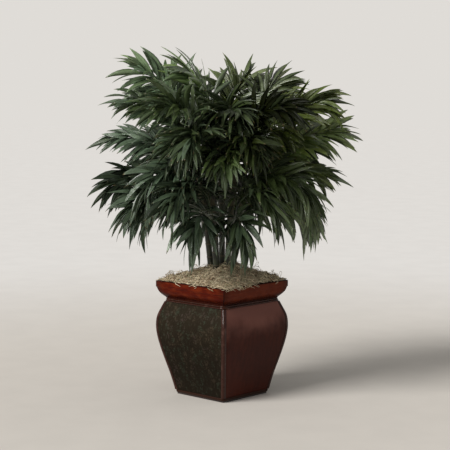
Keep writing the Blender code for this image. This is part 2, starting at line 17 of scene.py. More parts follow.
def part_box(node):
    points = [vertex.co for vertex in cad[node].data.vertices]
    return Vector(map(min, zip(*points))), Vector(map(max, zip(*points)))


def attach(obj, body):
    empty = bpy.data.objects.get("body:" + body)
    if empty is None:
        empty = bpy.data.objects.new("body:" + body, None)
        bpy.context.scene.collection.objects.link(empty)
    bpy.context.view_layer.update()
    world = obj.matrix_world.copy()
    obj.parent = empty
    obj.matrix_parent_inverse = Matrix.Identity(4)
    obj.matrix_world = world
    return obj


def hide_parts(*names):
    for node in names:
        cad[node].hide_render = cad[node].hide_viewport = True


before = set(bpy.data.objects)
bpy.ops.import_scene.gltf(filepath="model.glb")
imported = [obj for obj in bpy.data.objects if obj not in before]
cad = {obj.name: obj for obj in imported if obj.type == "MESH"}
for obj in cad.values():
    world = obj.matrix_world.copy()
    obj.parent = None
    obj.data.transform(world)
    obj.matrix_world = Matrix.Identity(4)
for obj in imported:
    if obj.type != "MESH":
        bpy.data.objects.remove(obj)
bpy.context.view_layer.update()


# --- Foot board ---
# A thin board under the planter, set back a little so that the planter seems to float on a shadow line. It
# is solid wood stained nearly black, with its edges eased by hand, and is glued under the shell.

WELD = 0.000002
CREASE = 40
BOARD_EASING = 0.0008
STAIN = (0.020, 0.009, 0.007, 1)
STAIN_WORN = (0.055, 0.024, 0.015, 1)


def blank():
    """An empty bmesh with a map for patterns that follow a surface, and a tone for each corner."""
    bm = bmesh.new()
    bm.loops.layers.uv.new("run")
    bm.verts.layers.float_vector.new("tone")
    return bm


def weld(bm):
    bmesh.ops.remove_doubles(bm, verts=bm.verts, dist=WELD)


def mesh_of(name, bm):
    mesh = bpy.data.meshes.new(name)
    bm.to_mesh(mesh)
    bm.free()
    return mesh


def placed(name, data):
    """A mesh, a lamp or a camera, put in the scene."""
    made = bpy.data.objects.new(name, data)
    bpy.context.scene.collection.objects.link(made)
    return made


def lay(name, bm, materials, stands_for=(), crease=None):
    """Closes a bmesh into a finished piece of the palm. Edges sharper than crease degrees stay crisp."""
    weld(bm)
    bmesh.ops.recalc_face_normals(bm, faces=bm.faces)
    mesh = mesh_of(name, bm)
    for material in materials:
        mesh.materials.append(material)
    mesh.shade_smooth()
    if crease:
        mesh.set_sharp_from_angle(angle=math.radians(crease))
    piece = placed(name, mesh)
    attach(piece, "root")
    if stands_for:
        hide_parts(*stands_for)
    return piece


def node(tree, kind, inputs, **settings):
    """A shader node whose inputs are each a plain value or another node's output."""
    made = tree.nodes.new("ShaderNode" + kind)
    for name, value in settings.items():
        setattr(made, name, value)
    for socket, source in inputs.items():
        if isinstance(source, bpy.types.NodeSocket):
            tree.links.new(source, made.inputs[socket])
        else:
            made.inputs[socket].default_value = source
    return made


def coordinates(tree, kind="Object", stretch=(1, 1, 1)):
    """Object coordinates, or the piece's own map, stretched along its axes."""
    if kind == "run":
        place = node(tree, "UVMap", {}, uv_map="run").outputs["UV"]
    else:
        place = node(tree, "TexCoord", {}).outputs[kind]
    return node(tree, "Mapping", {"Vector": place, "Scale": stretch}).outputs["Vector"]


def cloud(place, scale, detail=4.0, rough=0.55):
    """Soft noise, with as many patches to the metre as the scale says."""
    inputs = {"Vector": place, "Scale": scale, "Detail": detail, "Roughness": rough}
    return node(place.id_data, "TexNoise", inputs).outputs["Fac"]


def sums(operation, first, second=0.0):
    return node(first.id_data, "Math", {0: first, 1: second}, operation=operation).outputs[0]


def between(value, low, high, start=0.0, end=1.0):
    """Start below low and end above high, with a smooth change from one to the other."""
    inputs = {"Value": value, "From Min": low, "From Max": high, "To Min": start, "To Max": end}
    made = node(value.id_data, "MapRange", inputs, interpolation_type="SMOOTHSTEP")
    return made.outputs["Result"]


def mixed(share, first, second):
    inputs = {0: share, 6: first, 7: second}
    return node(share.id_data, "Mix", inputs, data_type="RGBA").outputs[2]


def parts_of(vector):
    split = node(vector.id_data, "SeparateXYZ", {"Vector": vector})
    return split.outputs["X"], split.outputs["Y"], split.outputs["Z"]


def coated(name, paint, **sockets):
    """A material. paint(tree) gives its colour and any roughness, gloss and bump.

    The rest are plain values for the shader's own sockets.
    """
    material = bpy.data.materials.new(name)
    material.use_nodes = True
    tree = material.node_tree
    shader = tree.nodes["Principled BSDF"]
    for socket, value in sockets.items():
        shader.inputs[socket.replace("_", " ")].default_value = value
    made = paint(tree)
    tree.links.new(made["colour"], shader.inputs["Base Color"])
    if "roughness" in made:
        tree.links.new(made["roughness"], shader.inputs["Roughness"])
    if "gloss" in made:
        tree.links.new(made["gloss"], shader.inputs["Specular IOR Level"])
    if "height" in made:
        inputs = {"Height": made["height"], "Distance": made["depth"], "Strength": 1.0}
        tree.links.new(node(tree, "Bump", inputs).outputs["Normal"], shader.inputs["Normal"])
    return material


def paint_stain(tree):
    place = coordinates(tree, stretch=(1, 1, 0.25))
    wear = between(cloud(place, 60.0, 6.0), 0.48, 0.72)
    return {
        "colour": mixed(wear, STAIN, STAIN_WORN),
        "roughness": between(wear, 0.0, 1.0, 0.34, 0.55),
        "height": cloud(place, 220.0),
        "depth": 0.0003,
    }


dark_stain = coated("dark stain", paint_stain, Coat_Weight=0.25, Coat_Roughness=0.25)


def ease(bm, edges, offset, segments):
    """Rounds off the edges of a piece, as a maker does with sandpaper."""
    bmesh.ops.bevel(
        bm, geom=edges, offset=offset, segments=segments, profile=0.5, affect="EDGES", material=-1
    )


low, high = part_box("base_plinth")
bm = blank()
bmesh.ops.create_cube(bm, size=1)
bmesh.ops.scale(bm, verts=bm.verts, vec=high - low)
bmesh.ops.translate(bm, verts=bm.verts, vec=(low + high) / 2)
ease(bm, bm.edges[:], BOARD_EASING, 3)
lay("foot_board", bm, [dark_stain], ["base_plinth"], crease=CREASE)


# --- Planter shell and its fill ---
# A plain bent-plywood shell that carries the panels, and the block of potting mix that the canes stand in.
# Neither shows once the planter is finished, so both keep their plain solids, under their own materials.

PLY = (0.115, 0.070, 0.038, 1)
PLY_DARK = (0.060, 0.034, 0.020, 1)
MIX = (0.016, 0.011, 0.008, 1)
MIX_LIGHT = (0.070, 0.050, 0.034, 1)


def paint_ply(tree):
    place = coordinates(tree, stretch=(6, 6, 90))
    grain = cloud(place, 3.0, 8.0)
    return {
        "colour": mixed(between(grain, 0.35, 0.65), PLY_DARK, PLY),
        "roughness": between(grain, 0.3, 0.7, 0.75, 0.6),
        "height": grain,
        "depth": 0.0004,
    }


def paint_mix(tree):
    place = coordinates(tree)
    crumbs = node(tree, "TexVoronoi", {"Vector": place, "Scale": 260.0}).outputs["Distance"]
    chips = between(cloud(place, 150.0, 8.0, 0.7), 0.55, 0.7)
    return {
        "colour": mixed(chips, MIX, MIX_LIGHT),
        "roughness": between(chips, 0.0, 1.0, 0.98, 0.85),
        "height": crumbs,
        "depth": 0.0015,
    }


for name, paint in (("planter_body", paint_ply), ("growing_medium", paint_mix)):
    solid = cad[name].data
    solid.materials.clear()
    solid.materials.append(coated(name.replace("_", " "), paint))


# --- Panels ---
# Four bellied panels glued to the shell. Two are lacquered burgundy and rubbed to a satin. Two are pressed
# with a bark-like relief, dabbed with dark green, plum and brown, and wiped so that only flecks stay.

GAP = 0.0003
# The planter's outline: height, and half of the width across its faces.
PLANTER_OUTLINE = (
    (0.000, 0.0768), (0.046, 0.0865), (0.084, 0.0962), (0.113, 0.1033), (0.142, 0.1088),
    (0.166, 0.1106), (0.188, 0.1084), (0.209, 0.1010), (0.231, 0.0922),
)
PANEL_DEPTH = 0.004
BEAD_REACH = 0.0080
PANEL_EASING = 0.0005
SMOOTH_CELLS = (20, 44)
PRESSED_CELLS = (118, 128)
PRESSING = 0.0009
PLATES = 135
PLATE_BENDS = 60
PLATE_WANDER = 0.006
PLATE_HEIGHT = 0.55
HOLLOW_HEIGHT = 0.25
CRACK_STEEPNESS = 3.2
GRIT = 320
GRIT_HEIGHT = 0.35
# The height of the relief that lies flush with the panel, and how steeply it runs out towards the edges.
FLUSH = 0.6
SIDE_FADE = 12
END_FADE = 14
BURGUNDY = (0.052, 0.0085, 0.0034, 1)
BURGUNDY_DEEP = (0.033, 0.0052, 0.0020, 1)
PAINTED_SHEEN_ROSE = (0.170, 0.068, 0.052, 1)
FOOT_BROWN = (0.022, 0.0095, 0.0050, 1)
HOLLOW_BROWN = (0.0128, 0.0094, 0.0054, 1)
FLECK_BROWN = (0.029, 0.0210, 0.0128, 1)
FLECK_PLUM = (0.028, 0.0195, 0.0155, 1)
FLECK_GREEN = (0.0195, 0.0225, 0.0140, 1)


def turned(degrees, axis="Z"):
    return Matrix.Rotation(math.radians(degrees), 3, axis)


def curve(here, there, leave, arrive, t):
    """The place at t, from 0 to 1, on a smooth curve that leaves one place and arrives at another."""
    return (
        here * (2 * t**3 - 3 * t**2 + 1) + leave * (t**3 - 2 * t**2 + t)
        + there * (3 * t**2 - 2 * t**3) + arrive * (t**3 - t**2)
    )


def half_width(height):
    """Half of the planter's width at a height, on a smooth curve through the outline's points."""
    points = PLANTER_OUTLINE
    last = len(points) - 1
    index = max(i for i in range(last) if points[i][0] <= max(height, 0.0))

    def slope(i):
        before, after = points[max(i - 1, 0)], points[min(i + 1, last)]
        return (after[1] - before[1]) / (after[0] - before[0])

    (z0, w0), (z1, w1) = points[index], points[index + 1]
    span = z1 - z0
    return curve(w0, w1, span * slope(index), span * slope(index + 1), (height - z0) / span)


def pressing(place):
    """How high the relief stands at a place, from 0 to 1: crooked plates with cracks between them."""
    wander = noise.noise_vector(place * PLATE_BENDS) * PLATE_WANDER
    spots = noise.voronoi((place + wander) * PLATES)[0]
    plates = min(1.0, (spots[1] - spots[0]) * CRACK_STEEPNESS)
    grit = noise.fractal(place * GRIT, 1.0, 2.0, 3) * GRIT_HEIGHT
    return max(0.0, min(1.0, HOLLOW_HEIGHT + PLATE_HEIGHT * plates + grit))


def panel_mesh(cells, pressed, seed):
    """One panel on the +X face: its curved front, its relief and its back, with the edges eased."""
    bottom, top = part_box("panel_right_smooth")
    bm = blank()
    columns, rows = cells
    corners = bmesh.ops.create_grid(bm, x_segments=columns, y_segments=rows, size=1)["verts"]
    tone = bm.verts.layers.float_vector["tone"]
    for corner in corners:
        across, up = corner.co.x, (corner.co.y + 1) / 2
        height = bottom.z + (top.z - bottom.z) * up
        half = half_width(height)
        place = Vector((half, across * (half - BEAD_REACH - GAP), height))
        relief = pressing(place + Vector((seed, 0, 0))) if pressed else 0.5
        margin = min(1.0, (1 - abs(across)) * SIDE_FADE, up * END_FADE, (1 - up) * END_FADE)
        if pressed:
            place.x += PRESSING * (relief - FLUSH) * margin
        corner.co = place
        corner[tone] = (relief, 0, 0)
    front = bm.faces[:]
    made = bmesh.ops.extrude_face_region(bm, geom=front, use_keep_orig=True)["geom"]
    back = [item for item in made if isinstance(item, bmesh.types.BMVert)]
    bmesh.ops.translate(bm, verts=back, vec=(GAP - PANEL_DEPTH, 0, 0))
    bmesh.ops.recalc_face_normals(bm, faces=bm.faces)
    front = set(front)
    rim = [edge for edge in bm.edges if sum(face in front for face in edge.link_faces) == 1]
    ease(bm, rim, PANEL_EASING, 2)
    return bm


def tone_of(tree):
    """The three numbers that each corner of a mesh carries as its tone."""
    return parts_of(node(tree, "Attribute", {}, attribute_name="tone").outputs["Vector"])


def times(first, second):
    return sums("MULTIPLY", first, second)


def lit(colour, strength):
    """A colour made as many times lighter as the strength says."""
    tree = strength.id_data
    grey = node(tree, "CombineColor", {0: strength, 1: strength, 2: strength}).outputs[0]
    inputs = {0: 1.0, 6: colour, 7: grey}
    return node(tree, "Mix", inputs, data_type="RGBA", blend_type="MULTIPLY").outputs[2]


def paint_burgundy(tree):
    streaks = cloud(coordinates(tree, stretch=(30, 30, 5)), 4.0, 6.0)
    clouds = cloud(coordinates(tree), 14.0, 3.0)
    depth = sums("ADD", times(streaks, 0.45), times(clouds, 0.55))
    pores = cloud(coordinates(tree, stretch=(1, 1, 0.35)), 900.0, 2.0)
    _, _, height = parts_of(coordinates(tree))
    # The lacquer is painted paler over the upper belly, a painted sheen where it turns up to the light, and
    # browner at the foot hoop.
    sheen_height = sums("ADD", height, times(sums("SUBTRACT", clouds, 0.5), 0.09))
    rubbing_and_sheen = between(sheen_height, 0.140, 0.205, 0.0, 0.9)
    colour = mixed(between(depth, 0.36, 0.64), BURGUNDY_DEEP, BURGUNDY)
    colour = mixed(between(height, 0.0100, 0.0112, 0.85, 0.0), colour, FOOT_BROWN)
    return {
        "colour": mixed(rubbing_and_sheen, colour, PAINTED_SHEEN_ROSE),
        "roughness": between(clouds, 0.3, 0.7, 0.36, 0.46),
        "height": sums("ADD", pores, times(streaks, 0.8)),
        "depth": 0.00008,
    }


def paint_pressed(tree):
    relief, _, _ = tone_of(tree)
    place = coordinates(tree)
    tall = coordinates(tree, stretch=(1, 1, 0.55))
    green = between(cloud(place, 30.0), 0.42, 0.56)
    plum = between(cloud(place, 21.0), 0.54, 0.64)
    colour = mixed(plum, mixed(green, FLECK_BROWN, FLECK_GREEN), FLECK_PLUM)
    wiped = between(cloud(tall, 95.0, 5.0, 0.65), 0.40, 0.62)
    high = times(between(relief, 0.30, 0.85), wiped)
    colour = mixed(between(high, 0.0, 0.75), HOLLOW_BROWN, colour)
    # Painted light: the panel is painted lighter towards the top, where its belly turns up to the light.
    _, _, height = parts_of(place)
    painted_top_light = sums("ADD", height, times(cloud(place, 17.0), 0.12))
    return {
        "colour": lit(colour, between(painted_top_light, 0.14, 0.27, 0.80, 1.45)),
        "roughness": between(high, 0.0, 1.0, 0.70, 0.45),
        "height": cloud(tall, 420.0),
        "depth": 0.0004,
    }


burgundy = coated(
    "burgundy lacquer", paint_burgundy, Specular_IOR_Level=0.10, Coat_Weight=0.02, Coat_Roughness=0.2
)
pressed_paint = coated("pressed and wiped panel", paint_pressed, Specular_IOR_Level=0.05)

for turn, side in enumerate(("right_smooth", "back_textured", "left_smooth", "front_textured")):
    pressed = side.endswith("textured")
    bm = panel_mesh(PRESSED_CELLS if pressed else SMOOTH_CELLS, pressed, turn)
    bmesh.ops.rotate(bm, verts=bm.verts, matrix=turned(90 * turn))
    slot, material = ("mottled_panel", pressed_paint) if pressed else ("burgundy_lacquer", burgundy)
    crease = None if pressed else CREASE
    lay(f"panel_face_{side}", bm, [material], [f"panel_{side}"], crease=crease)


# --- Trims and corner beads ---
# A rounded hoop round the foot, a double moulding under the rim, and a rounded strip down each corner. They
# are planed and lacquered wood, pinned over the joints between the panels. The hoop is burgundy, and the
# rest are dark.

TRIM_PROUD = 0.0014
NECK_BEADS = 2
NECK_BEAD_PROUD = 0.0030
HOOP_CORNER = 0.0045
HOOP_STEPS = 6
BEAD_PROUD = 0.0010
BEAD_RADIUS = 0.0040
BEAD_STEPS = 7
BEAD_STATIONS = 44
BEAD_FLUTE = 0.0007
LACQUER_DARK = (0.030, 0.0078, 0.0038, 1)
LACQUER_EDGE = (0.062, 0.026, 0.018, 1)


def evenly(count):
    """The numbers from 0 to 1, in as many even steps."""
    return [step / count for step in range(count + 1)]


def rolled(bm, rings, across=None, along=None, tone=(0, 0, 0), material=0):
    """A tube through rings of as many points each: a grid rolled up, whose seam is welded later.

    across holds the start and the end of each strip on the map, and along the place of each ring on it. The
    tone is one for the whole tube, or a list with one for each ring.
    """
    sides, rows = len(rings[0]), len(rings)
    corners = bmesh.ops.create_grid(bm, x_segments=sides, y_segments=rows - 1, size=1)["verts"]
    layer, tones = bm.loops.layers.uv["run"], bm.verts.layers.float_vector["tone"]
    across = across or [(side / sides, (side + 1) / sides) for side in range(sides)]
    along = along or evenly(rows - 1)
    columns = {}
    for number, corner in enumerate(corners):
        row, column = divmod(number, sides + 1)
        corner.co = rings[row][column % sides]
        corner[tones] = tone[row] if isinstance(tone, list) else tone
        columns[corner] = column
    for number, corner in enumerate(corners):
        row, column = divmod(number, sides + 1)
        for loop in corner.link_loops:
            strip = min(columns[other.vert] for other in loop.face.loops)
            loop[layer].uv = (across[strip][column - strip], along[row])
            loop.face.material_index = material


def lengths(points):
    """How far along a closed line of points each stretch starts and ends."""
    done, stretches = 0.0, []
    for here, there in zip(points, points[1:] + points[:1]):
        further = done + (there - here).length
        stretches.append((done, further))
        done = further
    return stretches


def filled(bm):
    """Closes the open ends of a welded tube with flat faces."""
    weld(bm)
    open_edges = [edge for edge in bm.edges if edge.is_boundary]
    return bmesh.ops.holes_fill(bm, edges=open_edges, sides=0)["faces"]


def hoop(outline):
    """A hoop round a square with rounded corners. Its section is (half width, height) points."""
    centre = min(half for half, _ in outline) - HOOP_CORNER
    rings = []
    for quarter in range(4):
        turn = turned(90 * quarter)
        for share in evenly(HOOP_STEPS):
            angle = math.radians(90 * share)
            ring = []
            for half, height in outline:
                out = half - centre
                place = (centre + out * math.cos(angle), centre + out * math.sin(angle), height)
                ring.append(turn @ Vector(place))
            rings.append(ring)
    rings.append(rings[0])
    once_round = half_width(0) * 8
    bm = blank()
    along = [once_round * share for share in evenly(len(rings) - 1)]
    rolled(bm, rings, across=lengths(rings[0]), along=along)
    return bm


def bead_outline(low, high, proud, steps=8):
    """The round outer side of a moulding between two heights, bottom to top."""
    points = []
    for share in evenly(steps):
        height = low + (high - low) * share
        swell = 0.25 + 0.75 * math.sin(math.pi * share) ** 0.6
        points.append((half_width(height) + proud * swell, height))
    return points


def paint_dark_lacquer(tree):
    place = coordinates(tree)
    rubbing_and_sheen = between(cloud(place, 70.0, 6.0), 0.52, 0.70)
    return {
        "colour": mixed(rubbing_and_sheen, LACQUER_DARK, LACQUER_EDGE),
        "roughness": between(cloud(place, 30.0), 0.3, 0.7, 0.24, 0.40),
        "height": cloud(place, 500.0),
        "depth": 0.00006,
    }


dark_lacquer = coated(
    "dark lacquer", paint_dark_lacquer, Specular_IOR_Level=0.16, Coat_Weight=0.20, Coat_Roughness=0.15
)

foot_low, foot_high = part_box("base_trim")
neck_low, neck_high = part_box("neck_trim")
foot_outline = bead_outline(foot_low.z, foot_high.z, TRIM_PROUD)
neck_outline = []
bead = (neck_high.z - neck_low.z) / NECK_BEADS
for number in range(NECK_BEADS):
    start = neck_low.z + number * bead
    neck_outline += bead_outline(start, start + bead, NECK_BEAD_PROUD)
for name, outline, slot, material in (
    ("base_trim", foot_outline, "burgundy_lacquer", burgundy),
    ("neck_trim", neck_outline, "dark_trim", dark_lacquer),
):
    inner = [(half_width(z) - PANEL_DEPTH + GAP, z) for z in (outline[-1][1], outline[0][1])]
    lay(f"{name}_hoop", hoop(outline + inner), [material], [name], crease=CREASE)

inner = GAP - PANEL_DEPTH
centre = BEAD_PROUD - BEAD_RADIUS
edge = -BEAD_REACH
section = [(inner, edge), (0, edge), (0, edge + BEAD_FLUTE), (BEAD_PROUD, edge + 2 * BEAD_FLUTE)]
for share in evenly(BEAD_STEPS):
    angle = math.radians(90 * share)
    section.append((centre + BEAD_RADIUS * math.cos(angle), centre + BEAD_RADIUS * math.sin(angle)))
section += [(y, x) for x, y in reversed(section[:4])] + [(inner, inner)]
low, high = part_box("corner_bead_1")
heights = [low.z + (high.z - low.z) * share for share in evenly(BEAD_STATIONS)]
for turn in range(4):
    bm = blank()
    rings = [[Vector((half_width(z) + x, half_width(z) + y, z)) for x, y in section] for z in heights]
    rolled(bm, rings, across=lengths(rings[0]), along=heights)
    filled(bm)
    bmesh.ops.rotate(bm, verts=bm.verts, matrix=turned(90 * turn))
    stands_for = [f"corner_bead_{turn + 1}"]
    lay(f"corner_strip_{turn + 1}", bm, [dark_lacquer], stands_for, crease=CREASE)


# --- Rim ---
# Four mitred rails with a swelling cove under a flat band, glued on top. They are mahogany, lacquered
# orange-red, dark along the top of the band and at the mitre joints, and darker towards their ends. The
# foot of the cove, under the band, is painted with shade, and the rails carry a painted sheen that makes
# some paler.

RIM_COVE_BOTTOM = 0.2315
RIM_COVE_TOP = 0.2545
RIM_BAND_BOTTOM = 0.2570
RIM_NECK = 0.0935
RIM_COVE_OUT = 0.1086
RIM_BAND_OUT = 0.1103
RIM_ROUNDING = 0.0016
RIM_SWELL = 0.0030
RIM_INNER_TOP = 0.0975
RIM_INNER_BOTTOM = 0.0845
COVE_STEPS = 14
ROUNDING_STEPS = 4
RAIL_STATIONS = 10
MITRE_EASING = 0.0005
RIM_CREASE = 32
# Where the darkening starts and ends: the dark top of the band and the painted shade at the foot of the
# cove, up the rail, and the mitre line and the darker ends, along the rail from its middle.
BAND_TOP_LINE = (0.2685, 0.2702)
COVE_SHADE = (0.2330, 0.2440)
MITRE_LINE = (0.1075, 0.1096)
END_DARKENING = (0.080, 0.110)
MAHOGANY = (0.076, 0.0066, 0.0018, 1)
MAHOGANY_GOLD = (0.120, 0.0160, 0.0033, 1)
MAHOGANY_SHEEN = (0.120, 0.0280, 0.0120, 1)
MAHOGANY_RED = (0.048, 0.0044, 0.0015, 1)
DARK_LINES_AND_SHADE = (0.016, 0.0045, 0.0034, 1)
# How pale each rail is painted. The paleness is a painted sheen, most on the +X rail.
RAILS = (("right", 0.5), ("back", 0.15), ("left", 0.35), ("front", 0.0))


def rim_outline(bottom, top):
    """The rail's section as (half width, height) points, from its inner top edge to its outer one."""
    points = [(RIM_INNER_TOP, top), (RIM_INNER_BOTTOM, bottom), (RIM_NECK, bottom)]
    for share in evenly(COVE_STEPS):
        out = RIM_NECK + (RIM_COVE_OUT - RIM_NECK) * share + RIM_SWELL * math.sin(math.pi * share)
        points.append((out, RIM_COVE_BOTTOM + (RIM_COVE_TOP - RIM_COVE_BOTTOM) * share))
    points.append((RIM_BAND_OUT, RIM_BAND_BOTTOM))
    for share in evenly(ROUNDING_STEPS):
        angle = math.radians(90 * share)
        inwards = RIM_ROUNDING * (1 - math.cos(angle))
        points.append((RIM_BAND_OUT - inwards, top - RIM_ROUNDING * (1 - math.sin(angle))))
    return points


def paint_rim(tree):
    _, _, height = parts_of(coordinates(tree))
    _, along, _ = parts_of(coordinates(tree, "run"))
    pale, _, _ = tone_of(tree)
    grain = cloud(coordinates(tree, "run", (150, 9, 1)), 3.0, 8.0, 0.6)
    patches = cloud(coordinates(tree, "run", (2, 1, 1)), 26.0, 3.0)
    colour = mixed(between(patches, 0.42, 0.62), MAHOGANY, MAHOGANY_GOLD)
    colour = mixed(between(grain, 0.46, 0.66), colour, MAHOGANY_RED)
    # Painted sheen: each rail is painted paler by its own share.
    colour = mixed(pale, colour, MAHOGANY_SHEEN)
    wander = times(sums("SUBTRACT", patches, 0.5), 0.012)
    reach = sums("ABSOLUTE", along)
    frayed = sums("ADD", reach, times(wander, 2.5))
    # Dark at the top of the band and at the mitres, darker towards the ends, and painted shade at the foot
    # of the cove, under the band's overhang.
    shade = between(height, *BAND_TOP_LINE)
    for other in (
        between(sums("ADD", height, wander), *COVE_SHADE, 0.85, 0.0),
        between(reach, *MITRE_LINE),
        between(frayed, *END_DARKENING, 0.0, 0.55),
    ):
        shade = sums("MAXIMUM", shade, other)
    return {
        "colour": mixed(times(shade, 0.92), colour, DARK_LINES_AND_SHADE),
        "roughness": between(patches, 0.3, 0.7, 0.22, 0.34),
        "height": grain,
        "depth": 0.00006,
    }


rim_lacquer = coated(
    "mahogany lacquer with dark lines and painted shade", paint_rim, Specular_IOR_Level=0.03, Coat_Weight=0.03, Coat_Roughness=0.1
)

low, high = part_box("rim_rail_right")
outline = rim_outline(low.z, high.z)
mitre_gap = GAP / math.sqrt(2)
shares = [2 * share - 1 for share in evenly(RAIL_STATIONS)]
for turn, (side, pale) in enumerate(RAILS):
    bm = blank()
    rings = [
        [Vector((out, share * (out - mitre_gap), height)) for out, height in outline]
        for share in shares
    ]
    run = [share * RIM_BAND_OUT for share in shares]
    rolled(bm, rings, across=lengths(rings[0]), along=run, tone=(pale, 0, 0))
    ends = filled(bm)
    bmesh.ops.recalc_face_normals(bm, faces=bm.faces)
    edges = {edge for face in ends for edge in face.edges}
    ease(bm, sorted(edges, key=lambda edge: edge.index), MITRE_EASING, 2)
    bmesh.ops.rotate(bm, verts=bm.verts, matrix=turned(90 * turn))
    lay(f"rim_moulding_{side}", bm, [rim_lacquer], [f"rim_rail_{side}"], crease=RIM_CREASE)


# --- Moss ---
# A cushion of dried, bleached moss heaped over the potting mix and onto the rim. A felted base keeps it
# together, and thousands of curled strands lie tangled over it, with a few hanging over the lacquer.

# The heap's outline: height, and half of its width across the planter's faces.
MOSS_OUTLINE = (
    (0.2228, 0.0785), (0.2300, 0.0815), (0.2716, 0.0945), (0.2718, 0.1045),
    (0.2742, 0.1058), (0.2775, 0.0960), (0.2822, 0.0810), (0.2880, 0.0640),
    (0.2950, 0.0470), (0.3025, 0.0310), (0.3072, 0.0150), (0.3085, 0.0000),
)
MOSS_SQUARENESS = 6.0
MOSS_LEAN = Vector((0.010, 0.008, 0))
MOSS_SIDES = 96
MOSS_SPLITS = 5
LUMPS = 70
LUMP_HEIGHT = 0.0030
CRUMBS = 240
CRUMB_HEIGHT = 0.0008
STRANDS = 3900
STRAND_STEPS = 8
STRAND_RADIUS = (0.00045, 0.00085)
STRAND_STRIDE = (0.0022, 0.0042)
STRAND_LOFT = 0.0026
EDGE_BAND = 0.022
EDGE_SHARE = 0.30
LOOSE_LOFT = 3.4
LOOSE_SHARE = 0.07
STRAND_CLEARANCE = (0.0004, 0.0010)
STRAND_CURL = 0.50
STRAND_KINK = 0.30
HANGING_STRANDS = 120
# Half of the strands that hang are on the +X rail, on the half that runs up to the -Y rail.
CORNER_SHARE = 0.5
HANGING_REACH = 0.108
HANGING_CLEAR = 0.010
HANGING_INSET = (0.004, 0.010)
HANGING_AIM = 0.9
HANGING_DROP = (0.2, 0.55)
HANGING_CLEARANCE = (0.0007, 0.0030)
RIM_SHELF = 0.2711
BATCH = 60
FELT = (0.265, 0.207, 0.133, 1)
FELT_DARK = (0.100, 0.076, 0.046, 1)
STRAW = (0.820, 0.690, 0.470, 1)
STRAW_GREY = (0.600, 0.530, 0.370, 1)
STRAW_GREEN = (0.420, 0.420, 0.240, 1)
STRAW_BROWN = (0.300, 0.200, 0.115, 1)


UP = Vector((0, 0, 1))


def middle_of(points):
    return sum(points, Vector()) / len(points)


def moss_ring(height, half, ruffle):
    """A ring of the heap: a square with round corners, ruffled, and leaning a little as it rises."""
    points = []
    start = MOSS_OUTLINE[3][0]
    lean = max(0.0, (height - start) / (MOSS_OUTLINE[-1][0] - start))
    for side in range(MOSS_SIDES):
        bearing = 2 * math.pi * side / MOSS_SIDES
        cosine, sine = math.cos(bearing), math.sin(bearing)
        power = MOSS_SQUARENESS
        square = (abs(cosine) ** power + abs(sine) ** power) ** (-1 / power)
        point = Vector((cosine, sine, 0)) * (half * square) + MOSS_LEAN * lean
        point.z = height
        if ruffle:
            lumps = noise.fractal(point * LUMPS, 1.0, 2.0, 3) * LUMP_HEIGHT
            point.z += lumps + noise.noise(point * CRUMBS) * CRUMB_HEIGHT
        points.append(point)
    return points


def paint_felt(tree):
    place = coordinates(tree)
    tangle = cloud(place, 300.0, 6.0, 0.7)
    return {
        "colour": mixed(between(tangle, 0.38, 0.62), FELT_DARK, FELT),
        "roughness": between(tangle, 0.3, 0.7, 1.0, 0.9),
        "height": tangle,
        "depth": 0.002,
    }


def paint_strands(tree):
    bleach, age, _ = tone_of(tree)
    flecks = cloud(coordinates(tree), 500.0, 2.0)
    colour = mixed(bleach, STRAW_GREY, STRAW)
    colour = mixed(between(age, 0.45, 1.0), colour, STRAW_BROWN)
    colour = mixed(between(age, 0.15, 0.05), colour, STRAW_GREEN)
    return {
        "colour": mixed(between(flecks, 0.35, 0.65, 0.0, 0.35), colour, STRAW_BROWN),
        "roughness": between(flecks, 0.3, 0.7, 0.95, 0.8),
    }


felt = coated("felted moss", paint_felt)
straw = coated("bleached moss strands", paint_strands)

rings = []
shelf = MOSS_OUTLINE[3][0]
for (z0, w0), (z1, w1) in zip(MOSS_OUTLINE, MOSS_OUTLINE[1:]):
    splits = MOSS_SPLITS if z0 >= shelf else 1
    for split in range(splits):
        share = split / splits
        rings.append(moss_ring(z0 + (z1 - z0) * share, w0 + (w1 - w0) * share, z0 > shelf))
rings.append([middle_of(moss_ring(*MOSS_OUTLINE[-2], True))] * MOSS_SIDES)
rings.insert(0, [Vector((0, 0, MOSS_OUTLINE[0][0]))] * MOSS_SIDES)
bm = blank()
rolled(bm, rings)
weld(bm)
heap = BVHTree.FromBMesh(bm)
lay("moss_felt", bm, [felt], ["moss_topping"])


def strand_rings(line, radius):
    """Three-sided rings along a line of points, pointed at both ends."""
    rings = [[line[0]] * 3]
    for number in range(1, len(line) - 1):
        along = (line[number + 1] - line[number - 1]).normalized()
        side = along.cross(UP)
        side = side.normalized() if side.length > 0.05 else Vector((1, 0, 0))
        up = side.cross(along)
        size = radius * (1 - 0.5 * abs(2 * number / (len(line) - 1) - 1))
        rings.append([
            line[number] + (side * math.cos(angle) + up * math.sin(angle)) * size
            for angle in (math.radians(90), math.radians(210), math.radians(330))
        ])
    rings.append([line[-1]] * 3)
    return rings


def resting_place(here):
    """Where a strand comes to rest below a point: on the heap, on the rim's flat top, or nowhere."""
    hit, normal, _, _ = heap.ray_cast(Vector((here.x, here.y, 0.4)), -UP)
    if hit is not None and hit.z > RIM_SHELF:
        return hit, normal
    if max(abs(here.x), abs(here.y)) < RIM_BAND_OUT:
        return Vector((here.x, here.y, RIM_SHELF)), UP
    return None, None


